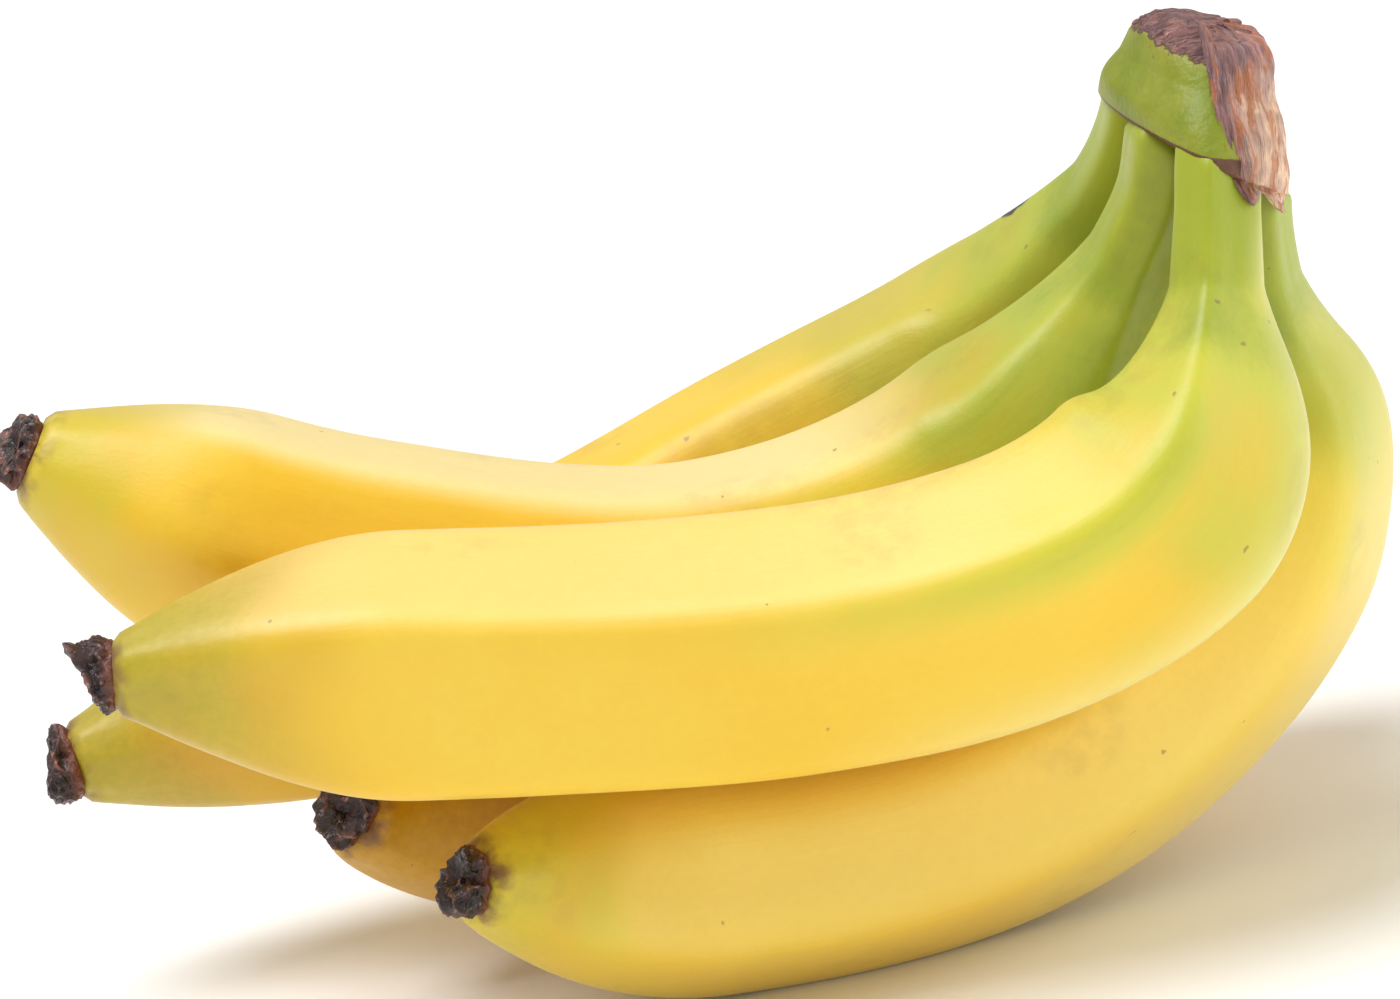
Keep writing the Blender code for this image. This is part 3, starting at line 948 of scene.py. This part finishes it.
def crown_outline(level, extra, angles):
    """Places round the crown at a level from 0, the foot, to 1, the cut."""
    spread = (NECK_FEET - NECK_FEET.mean(axis=0)) * CUT_SPREAD
    slope = -math.tan(math.radians(CUT_TILT))
    spread[:, 2] = slope * spread[:, 0] + CUT_SLOPE_BACK * spread[:, 1]
    places = NECK_FEET + (CUT_MIDDLE + spread - NECK_FEET) * level
    tilt = math.radians(FOOT_TILT + (CUT_TILT - FOOT_TILT) * level)
    right = np.array([math.cos(tilt), 0.0, -math.sin(tilt)])
    back = np.array([0.0, 1.0, 0.0])
    outwards = np.cos(angles)[:, None] * right + np.sin(angles)[:, None] * back
    pull = np.exp(WRAP * outwards @ (places - places.mean(axis=0)).T)
    pull /= pull.sum(axis=1)[:, None]
    belly = CROWN_BELLY * math.sin(math.pi * min(1.0, 1.6 * level))
    size = CROWN_RADIUS + belly + extra
    return pull @ places + np.asarray(size).reshape(-1, 1) * outwards + CENTRING


round_crown = np.linspace(0.0, 2 * math.pi, CROWN_SIDES, endpoint=False)
print("crown foot, mm:", np.round(np.ptp(crown_outline(0.0, 0.0, round_crown), axis=0), 1))

# %% [markdown]
# ## Dried stalk
#
# The cut face and the torn strip are the same tissue: bundles of fibres that
# dried from pink to dark brown, and to tan where they are thinnest.  Two
# sizes of fibre over one stain give that, and the same fibres give the height.
# The pale pink of the thin fibres is partly their colour and partly a painted highlight.

# %% Dry tissue
def dry_brown(tree, place, light):
    """Colour of dried stalk from dark brown to tan, with a painted highlight on thin fibres, and
    its height.
    """
    coarse = use(tree, fibres, {"Place": place, "Length": 9.0, "Width": 1.0, "Softness": 0.2})
    thin = use(tree, fibres, {"Place": place, "Length": 5.0, "Width": 0.35, "Softness": 0.25})
    stain = use(tree, mottle, {"Place": place, "Size": 5.0, "Detail": 4.0, "Softness": 0.10})
    colour = blend(tree, coarse, (0.080, 0.026, 0.034), (0.66, 0.29, 0.25))
    colour = blend(tree, sum_up(tree, "MULTIPLY", stain, 0.55), colour, (0.16, 0.075, 0.11))
    colour = blend(tree, light, colour, (1.0, 0.66, 0.40))
    # pale pink thin fibres: partly their colour, partly a painted highlight
    colour = blend(tree, sum_up(tree, "MULTIPLY", thin, 0.40), colour, (0.80, 0.52, 0.46))
    height = sum_up(tree, "ADD", coarse, sum_up(tree, "MULTIPLY", thin, 0.5))
    return colour, height


DRY_DEPTH = 0.0011
print("relief of dry tissue, mm:", 1000 * DRY_DEPTH)

# %% [markdown]
# ## The skin of the crown
#
# The crown is green and smooth up to a ragged line, where it dried brown
# after the cut.  A brown rim at its foot marks where a leaf scale once sat.
# One material holds all three, so that the borders can be ragged.

# %% Crown material
def crown_green(tree, place):
    """Two greens, with fine shade and a few brown dots, and the fine shade itself."""
    broad = use(tree, mottle, {"Place": place, "Size": 9.0, "Detail": 3.0, "Softness": 0.22})
    fine = use(tree, mottle, {"Place": place, "Size": 1.1, "Detail": 4.0, "Softness": 0.35})
    dots = use(tree, specks, {"Place": place, "Spacing": 2.6, "Size": 0.10, "Share": 0.25})
    colour = blend(tree, broad, (0.20, 0.255, 0.012), (0.31, 0.335, 0.032))
    colour = blend(tree, sum_up(tree, "MULTIPLY", fine, 0.18), colour, (0.20, 0.23, 0.02))
    return blend(tree, sum_up(tree, "MULTIPLY", dots, 0.6), colour, BROWN), fine


def make_crown_finish():
    """Green skin, brown cut and brown rim in one material."""
    made, tree, shader = finish_named("green_crown")
    place = mark(tree, "straight", "Vector")
    colour, fine = crown_green(tree, place)
    ragged = use(tree, mottle, {"Place": place, "Size": 1.8, "Detail": 6.0, "Softness": 0.5})
    jitter = swing(tree, ragged, 3.4)
    cut = sum_up(tree, "ADD", mark(tree, "cut"), jitter)
    brown, height = dry_brown(tree, place, 0.0)
    dying = steps(tree, cut, -1.6, 0.2)
    colour = blend(tree, sum_up(tree, "MULTIPLY", dying, 0.5), colour, (0.30, 0.22, 0.06))
    dead = steps(tree, cut, -0.25, 0.25)
    colour = blend(tree, dead, colour, brown)
    rim = sum_up(tree, "ADD", mark(tree, "rim"), sum_up(tree, "MULTIPLY", jitter, 0.12))
    rimmed = steps(tree, rim, 0.40, 0.60)
    crust = blend(tree, ragged, (0.07, 0.027, 0.02), (0.19, 0.085, 0.04))
    tree.links.new(blend(tree, rimmed, colour, crust), shader.inputs["Base Color"])
    dry = sum_up(tree, "MAXIMUM", dead, rimmed)
    tree.links.new(steps(tree, dry, 0.0, 1.0, 0.42, 0.48), shader.inputs["Roughness"])
    everywhere(shader, {"IOR": 1.42, "Subsurface Weight": 0.06,
                        "Subsurface Radius": (0.8, 0.8, 0.2), "Subsurface Scale": 0.0015})
    height = sum_up(tree, "ADD", sum_up(tree, "MULTIPLY", height, dead),
                    sum_up(tree, "MULTIPLY", fine, 0.12))
    relief(tree, shader, height, 1.0, DRY_DEPTH)
    return made


crown_finish = make_crown_finish()
print("crown material:", crown_finish.name)

# %% [markdown]
# ## The shape of the crown
#
# Outlines from foot to cut make the side, and rings that shrink towards the
# middle make the cut face, which is domed, pitted and sunk a little, as it
# dried.  The levels are close together at the foot, where the outline turns
# quickly.

# %% Make the crown
CUT_RINGS = (0.93, 0.84, 0.72, 0.58, 0.44, 0.3, 0.16, 0.06)
CUT_SHARPNESS = 16.0


def crown_cut_height(angles):
    """The level at which the green skin turns brown, round the crown."""
    degrees = turned_from(angles, 0.0)
    near_right = fade(degrees, -95, -66) * (1 - fade(degrees, 20, 60))
    return 0.86 - 0.50 * near_right + 0.07 * near_angle(angles, -175, 30)


def crown_ease(level):
    """How far the skin stands off its outline: rounded foot and rounded rim."""
    return np.interp(level, (0, 0.02, 0.06, 0.16, 0.3, 0.5, 0.9, 0.97, 1.0),
                     (-0.8, 0.0, 0.35, 0.35, 0.25, 0.05, 0.0, -0.25, -1.1))


def crown_dome(places, middle, share):
    """How much the cut is domed, and higher on the left; share is 1 at the rim."""
    return (1.2 + 0.14 * (middle[0] - places[..., 0])) * fade(1 - share, 0.0, 0.5)


def crown_rings():
    """The points of the crown, with the level and the angle of each."""
    levels = np.concatenate([np.linspace(0.0, 0.16, 14), np.linspace(0.18, 1.0, 54)])
    rings = [crown_outline(level, crown_ease(level), round_crown) for level in levels]
    top, middle = rings[-1], rings[-1].mean(axis=0)
    rings += [middle + (top - middle) * share for share in CUT_RINGS]
    levels = np.append(levels, [2 - share for share in CUT_RINGS])
    foot = rings[0].mean(axis=0)
    places = np.vstack([*rings, foot, rings[-1].mean(axis=0)])
    level = np.append(np.repeat(levels, CROWN_SIDES), (0.0, 2.0))
    turn = np.append(np.tile(round_crown, len(rings)), (0.0, 0.0))
    return places, level, turn, middle, foot, len(rings)


def make_crown():
    """The crown with its rounded foot and its sunken, pitted cut."""
    places, level, turn, middle, foot, count = crown_rings()
    cut = (level - crown_cut_height(turn)) * CUT_SHARPNESS
    rim_width = 0.040 + 0.125 * near_angle(turn, -66, 38)
    rim = 1 - fade(level, rim_width * 0.75, rim_width * 1.5)
    out = places - (middle + foot) / 2
    out /= np.linalg.norm(out, axis=1)[:, None]
    pits = swell(places * (0.4, 1, 1), 1.9, 61) + 0.5 * swell(places * (0.5, 1, 1), 0.9, 62)
    slow = 0.55 * swell(places, 7.0, 63) * fade(level, 0.05, 0.3)
    brown = fade(cut, -0.6, 0.6)
    sunk = 0.35 * brown * (level < 1.0)
    places = places + out * (slow + 0.85 * pits * brown - sunk)[:, None]
    places[:, 2] += crown_dome(places, middle, 2 - level)
    fold = near_angle(turn, -138, 9) * fade(level, 0.03, 0.1) * (1 - fade(level, 0.25, 0.6))
    places -= out * (0.55 * fold)[:, None]
    made = piece_of("crown_skin", places, tube_faces(count, CROWN_SIDES), crown_finish,
                    {"straight": places, "cut": cut, "rim": rim})
    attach(made, "root")
    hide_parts("crown")
    return made


crown = make_crown()
print("crown skin:", len(crown.data.polygons), "faces")

# %% [markdown]
# ## The dried tissue of the strip
#
# When the bunch was cut from the stalk a strip of its outer tissue tore off
# and dried against the crown.  It is the same tissue as the cut, with rusty
# streaks, and bleached to tan towards its foot.

# %% The strip material
def make_strip_finish():
    """Dried fibres, dark at the top and the left edge, tan at the foot."""
    made, tree, shader = finish_named("dried_tissue")
    place = mark(tree, "straight", "Vector")
    patch = use(tree, mottle, {"Place": place, "Size": 3.5, "Detail": 4.0, "Softness": 0.2})
    bleached = steps(tree, patch, 0.0, 1.0, 0.45, 1.0)
    light = sum_up(tree, "MULTIPLY", mark(tree, "light"), bleached)
    colour, height = dry_brown(tree, place, light)
    rust = use(tree, fibres, {"Place": place, "Length": 7.0, "Width": 1.3, "Softness": 0.1})
    rusty = sum_up(tree, "MULTIPLY", steps(tree, rust, 0.55, 0.95), 0.75)
    colour = blend(tree, rusty, colour, (0.55, 0.17, 0.05))
    tree.links.new(colour, shader.inputs["Base Color"])
    tree.links.new(steps(tree, height, 0.0, 1.5, 0.65, 0.38), shader.inputs["Roughness"])
    relief(tree, shader, height, 1.0, DRY_DEPTH)
    return made


strip_finish = make_strip_finish()
print("strip material:", strip_finish.name)

# %% [markdown]
# ## The torn strip
#
# The strip starts on the cut, goes over its rim and lies against the crown,
# and its ragged foot hangs in points between two necks.  It could be draped
# with cloth simulation, but dry tissue is stiff.  So it is a sheet that
# follows the outline of the crown, with grooves along its fibres.

# %% Make the strip
STRIP_COLUMNS, STRIP_ROWS = 72, 110
STRIP_HANG = (2.2, 3.6, 3.9, 2.9, 1.5, 1.6, 2.9, 3.5, 3.2, 2.0, 1.0)
STRIP_HOLD = 0.06
STRIP_ON_CUT = 0.16
STRIP_LONG, STRIP_WIDE = 28.0, 11.0

across = np.linspace(0.0, 1.0, STRIP_COLUMNS)
down = np.linspace(0.0, 1.0, STRIP_ROWS)
hang = np.interp(across, np.linspace(0, 1, len(STRIP_HANG)), STRIP_HANG)
cut_middle = crown_outline(1.0, 0.0, round_crown).mean(axis=0)


def strip_edges(part):
    """First and last angle, level and drop of the strip, from the rim to the foot."""
    level = 0.99 * (1 - 1.25 * part)
    first = -106.0 + 26.0 * part + 1.5 * math.sin(9 * part + 1)
    last = 14.0 - 16.0 * part + 1.5 * math.sin(13 * part)
    drop = max(0.0, (STRIP_HOLD - level) / 0.30)
    return first, last, level, drop


def strip_row(part, outer):
    """One row of points across the strip, on its inner or its outer side."""
    past_rim = max(0.0, (part - STRIP_ON_CUT) / (1 - STRIP_ON_CUT))
    first, last, level, drop = strip_edges(past_rim)
    drop = hang * drop
    edge = fade(across, 0.0, 0.35) * (0.4 + 0.6 * (1 - fade(across, 0.8, 1.0)))
    foot = 1 - fade(part, 0.82, 1.0)
    thick = 0.1 + 1.25 * edge * (0.35 + 0.65 * foot) * fade(part, 0.05, 0.34)
    extra = 0.25 + 0.35 * drop + outer * thick + min(0.0, float(crown_ease(level)))
    angles = np.radians(first + (last - first) * across)
    row = crown_outline(max(level, STRIP_HOLD), extra, angles)
    torn = 0.10 * np.sin(17 * across + 1) + 0.07 * np.sin(41 * across)
    share = 1 - (0.5 + torn) * (1 - min(1.0, part / STRIP_ON_CUT))
    row = cut_middle + (row - cut_middle) * share[:, None]
    row[:, 2] += crown_dome(row, cut_middle, share) - drop
    row[:, 2] += (outer * 0.5 - 0.4) * (1 - fade(part, 0.0, STRIP_ON_CUT)) + 0.15 * outer
    return row


def groove(part, place):
    """Height of the grooves at one place: broad ones and finer ones."""
    broad = noise.noise(Vector((6 * place, 4.5 * part, 3.0)))
    return broad + 0.7 * noise.noise(Vector((19 * place, 9 * part, 8.0)))


def strip_faces():
    """Quads on both sides of the sheet, facing out, and round its edge, facing in."""
    index = np.arange(STRIP_COLUMNS * STRIP_ROWS).reshape(STRIP_ROWS, STRIP_COLUMNS)
    corner = index[:-1, :-1].ravel()
    below = corner + STRIP_COLUMNS
    quads = np.stack([corner, below, below + 1, corner + 1], axis=1)
    border = np.concatenate([index[0], index[1:, -1], index[-1, -2::-1], index[-2:0:-1, 0]])
    after = np.roll(border, -1)
    wall = np.stack([border, after, after + index.size, border + index.size], axis=1)
    return quads[:, ::-1].tolist() + (quads + index.size).tolist() + wall.tolist()


def make_strip():
    """A sheet that follows the crown outside, closed round its edge."""
    inner, outer = (np.array([strip_row(part, side) for part in down]) for side in (0.0, 1.0))
    out = outer - inner
    out /= np.linalg.norm(out, axis=2)[..., None]
    grooves = np.array([[groove(part, place) for place in across] for part in down])
    outer = outer + out * (0.95 * grooves)[..., None]
    rows, columns = np.repeat(down, STRIP_COLUMNS), np.tile(across, STRIP_ROWS)
    flat = np.stack([rows * STRIP_LONG, columns * STRIP_WIDE, 0 * rows], axis=1)
    light = fade(rows, 0.18, 0.48) * fade(columns, 0.10, 0.40)
    made = piece_of(
        "torn_strip", np.vstack([inner.reshape(-1, 3), outer.reshape(-1, 3)]),
        strip_faces(), strip_finish,
        {"straight": np.vstack([flat, flat]), "light": np.tile(light, 2)},
    )
    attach(made, "root")
    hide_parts("stalk_strip")
    return made


strip = make_strip()
print("torn strip:", len(strip.data.polygons), "faces")

# %% [markdown]
# ## The colour of a dried flower
#
# A withered flower is nearly black in its folds, reddish brown on its ridges
# and pale grey on the highest of them, partly dusty and partly a painted glint.
# How high a point is pushed out is stored on the mesh, so the material knows
# ridges from folds.

# %% The dried flower material
def make_flower_finish():
    """Near black with reddish brown ridges, and pale glints that are partly dusty and partly a
    painted highlight.
    """
    made, tree, shader = finish_named("dried_flower")
    place = mark(tree, "straight", "Vector")
    grain = use(tree, mottle, {"Place": place, "Size": 1.6, "Detail": 5.0, "Softness": 0.2})
    rust = use(tree, mottle, {"Place": place, "Size": 3.0, "Detail": 3.0, "Softness": 0.12})
    dust_and_glint = use(tree, mottle, {"Place": place, "Size": 0.5, "Detail": 4.0, "Softness": 0.12})
    colour = blend(tree, grain, (0.012, 0.008, 0.010), (0.060, 0.026, 0.022))
    raised = mark(tree, "raised")
    red = sum_up(tree, "MULTIPLY", steps(tree, raised, 0.35, 0.9), steps(tree, rust, 0.2, 0.9))
    colour = blend(tree, sum_up(tree, "MULTIPLY", red, 0.8), colour, (0.24, 0.075, 0.045))
    rim = sum_up(tree, "MULTIPLY", mark(tree, "rim"), 0.8)
    colour = blend(tree, rim, colour, (0.20, 0.055, 0.025))
    # painted highlight: pale glints on the highest ridges, partly dusty
    pale = sum_up(tree, "MULTIPLY", steps(tree, dust_and_glint, 0.75, 1.0),
                  steps(tree, raised, 0.4, 1.0, 0.0, 0.55))
    colour = blend(tree, pale, colour, (0.42, 0.34, 0.34))
    tree.links.new(colour, shader.inputs["Base Color"])
    tree.links.new(steps(tree, grain, 0.0, 1.0, 0.22, 0.48), shader.inputs["Roughness"])
    relief(tree, shader, grain, 0.8, 0.0003)
    return made


flower_finish = make_flower_finish()
print("flower material:", flower_finish.name)

# %% [markdown]
# ## The dried flower ends
#
# A banana's flower withers to a dark, crinkled knob on the tip.  No two are
# alike, so each gets its own seed: a lobed outline, then deep wrinkles and
# fine crumpling pushed into the same mesh.  The front one is bent to a hook.

# %% Make the dried flower ends
FLOWER_RINGS, FLOWER_SIDES = 64, 120
FLOWER_LENGTH = 4.8
FLOWER_SIZE = {"a": 1.04, "b": 0.84, "c": 0.90, "d": 0.82, "e": 0.78}
HOOKED = "c"

up_flower = np.linspace(0.0, 1.0, FLOWER_RINGS)
round_flower = np.linspace(0.0, 2 * math.pi, FLOWER_SIDES, endpoint=False)


def flower_profile():
    """How far out and how far up each ring of the knob is."""
    over_edge = np.clip((up_flower - 0.40) / 0.60, 0, 1)
    reach = np.interp(up_flower, (0, 0.08, 0.25, 0.40), (0.86, 0.96, 1.0, 0.96))
    reach = reach * np.cos(math.pi / 2 * over_edge) ** 0.75
    stand = np.interp(up_flower, (0, 0.40), (-0.08, 0.62))
    stand = stand + 0.30 * np.sin(math.pi / 2 * over_edge) - 0.30 * over_edge**3
    return reach, stand


def flower_outline(letter, seed):
    """The smooth knob on one tip, lobed and leaning, as a grid of points."""
    tip, way, near, inside, radius = tips[letter]
    reach, stand = flower_profile()
    lobes = 1 + 0.08 * np.sin(2 * round_flower + seed)
    lobes += 0.07 * np.sin(3 * round_flower + 2.3 * seed)
    lobes += 0.04 * np.sin(7 * round_flower + 1.7 * seed)
    size = FLOWER_SIZE[letter] * radius * reach[:, None] * lobes[None, :]
    flat = size[..., None] * (np.cos(round_flower)[None, :, None] * near
                              + np.sin(round_flower)[None, :, None] * inside)
    lean = 0.35 * np.sin(round_flower + 2.1 * seed) * np.clip(2 * up_flower, 0, 1)[:, None]
    places = tip + flat + (FLOWER_LENGTH * stand[:, None] * (1 + lean))[..., None] * way
    if letter == HOOKED:
        hook = near_angle(round_flower, 80, 36)[None, :] * fade(up_flower, 0.1, 0.5)[:, None]
        hook = (hook * (1 - fade(up_flower, 0.8, 1.0))[:, None])[..., None]
        places = places + hook * (1.9 * way + 1.5 * inside)
    return places.reshape(-1, 3)


def make_flower(letter, seed):
    """A crinkled knob on one tip."""
    tip, way = tips[letter][:2]
    places = flower_outline(letter, seed)
    out = places - (tip + 0.4 * FLOWER_LENGTH * way)
    out /= np.linalg.norm(out, axis=1)[:, None]
    folds = 1 - 2.4 * np.abs(swell(places, 3.4, seed + 20))
    creases = 1 - 2.4 * np.abs(swell(places, 1.6, seed + 25))
    crumple = swell(places, 0.7, seed + 30)
    loose = np.repeat(fade(up_flower, 0.0, 0.2), FLOWER_SIDES)
    push = (0.8 * (folds - 0.6) + 0.6 * (creases - 0.6) + 0.2 * crumple) * (0.3 + 0.7 * loose)
    places = places + out * push[:, None]
    places = np.vstack([places, tip, places[-FLOWER_SIDES:].mean(axis=0)])
    rim = np.repeat(1 - fade(up_flower, 0.05, 0.3), FLOWER_SIDES)
    made = piece_of(
        "flower_end_" + letter, places, tube_faces(FLOWER_RINGS, FLOWER_SIDES), flower_finish,
        {"straight": places, "raised": with_ends(fade(push, -0.4, 0.5)),
         "rim": with_ends(rim)},
    )
    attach(made, "root")
    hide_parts("blossom_end_" + letter)
    return made


flowers = [make_flower(letter, seed) for seed, letter in enumerate(BANANAS, start=1)]
print("flower ends:", ", ".join(flower.name for flower in flowers))

# %% [markdown]
# ## Floor
#
# Fruit is best shown on a wide white floor that throws light back under the
# bellies.  It is matt, so that it has no glare, and it isn't part of the bunch.

# %% Floor
FLOOR_WIDTH = 8.0


def make_floor():
    """A wide pale floor in a clean matt white."""
    made, tree, shader = finish_named("pale_floor")
    place = add(tree, "ShaderNodeTexCoord").outputs["Object"]
    cloud = add(tree, "ShaderNodeTexNoise", {"Vector": place, "Scale": 4.0, "Detail": 3.0})
    colour = blend(tree, cloud.outputs["Fac"], (0.96, 0.96, 0.96), (0.98, 0.98, 0.98))
    tree.links.new(colour, shader.inputs["Base Color"])
    everywhere(shader, {"Roughness": 0.9, "Specular IOR Level": 0.1})
    half = FLOOR_WIDTH / 2
    mesh = bpy.data.meshes.new("floor")
    mesh.from_pydata([(-half, -half, 0), (half, -half, 0), (half, half, 0), (-half, half, 0)],
                     [], [(0, 1, 2, 3)])
    mesh.materials.append(made)
    floor = bpy.data.objects.new("floor", mesh)
    bpy.context.scene.collection.objects.link(floor)
    return floor


floor = make_floor()
print("floor, m:", FLOOR_WIDTH)

# %% [markdown]
# ## Light
#
# An even white surround fills the shadows.  One broad soft light from above
# and a little from the left gives the bananas their bright tops, and two weak
# panels, at the right and in front, keep the necks and the near sides clear.

# %% Surround and lights
SURROUND = 0.44
OVERHEAD, OVERHEAD_SPREAD = 2.5, 42.0


def soft_light(name, place, target, width, height, watts):
    """A flat light panel that faces the target."""
    lamp = bpy.data.lights.new(name, "AREA")
    lamp.shape = "RECTANGLE"
    lamp.size, lamp.size_y = width, height
    lamp.energy = watts
    made = bpy.data.objects.new(name, lamp)
    made.location = place
    made.rotation_euler = (Vector(target) - Vector(place)).to_track_quat("-Z", "Y").to_euler()
    bpy.context.scene.collection.objects.link(made)
    return made


world = bpy.data.worlds.new("white surround")
world.use_nodes = True
everywhere(world.node_tree.nodes["Background"], {"Color": (1.0, 1.0, 1.0, 1.0),
                                                 "Strength": SURROUND})
bpy.context.scene.world = world
middle = [(a + b) / 2 for a, b in zip(*cad_box)]
soft_light("side", (0.75, -0.10, 0.35), middle, 0.5, 0.8, 1.9)
soft_light("front", (0.40, -0.95, 0.22), middle, 0.9, 0.5, 1.2)
sun = bpy.data.lights.new("overhead", "SUN")
sun.energy = OVERHEAD
sun.angle = math.radians(OVERHEAD_SPREAD)
overhead = bpy.data.objects.new("overhead", sun)
overhead.rotation_euler = Vector((0.33, 0.0, -0.94)).to_track_quat("-Z", "Y").to_euler()
bpy.context.scene.collection.objects.link(overhead)
bpy.context.scene.view_settings.view_transform = "Standard"

# %% [markdown]
# ## Camera
#
# A long lens from a little above keeps the bananas in their true proportions.
# The camera leans to one side by a few degrees, as a hand-held one does.

# %% Camera
ELEVATION, LEAN = 14.45, -11.4
DISTANCE = 0.76
LENS = 136.8
AIM = (0.0036, -0.0326, 0.0779)


def make_camera():
    """A camera looking along +Y and down, leaning about its own axis."""
    down = math.radians(ELEVATION)
    ahead = Vector((0.0, math.cos(down), -math.sin(down)))
    data = bpy.data.cameras.new("camera")
    data.lens = LENS
    data.sensor_width = 36.0
    data.clip_start, data.clip_end = 0.05, 20.0
    made = bpy.data.objects.new("camera", data)
    made.location = Vector(AIM) - DISTANCE * ahead
    turn = ahead.to_track_quat("-Z", "Y")
    roll = Vector((0.0, 0.0, 1.0))
    lean = turn @ Quaternion(roll, math.radians(LEAN))
    made.rotation_euler = lean.to_euler()
    bpy.context.scene.collection.objects.link(made)
    bpy.context.scene.camera = made
    return made


camera = make_camera()
print("camera at", [round(v, 3) for v in camera.location])
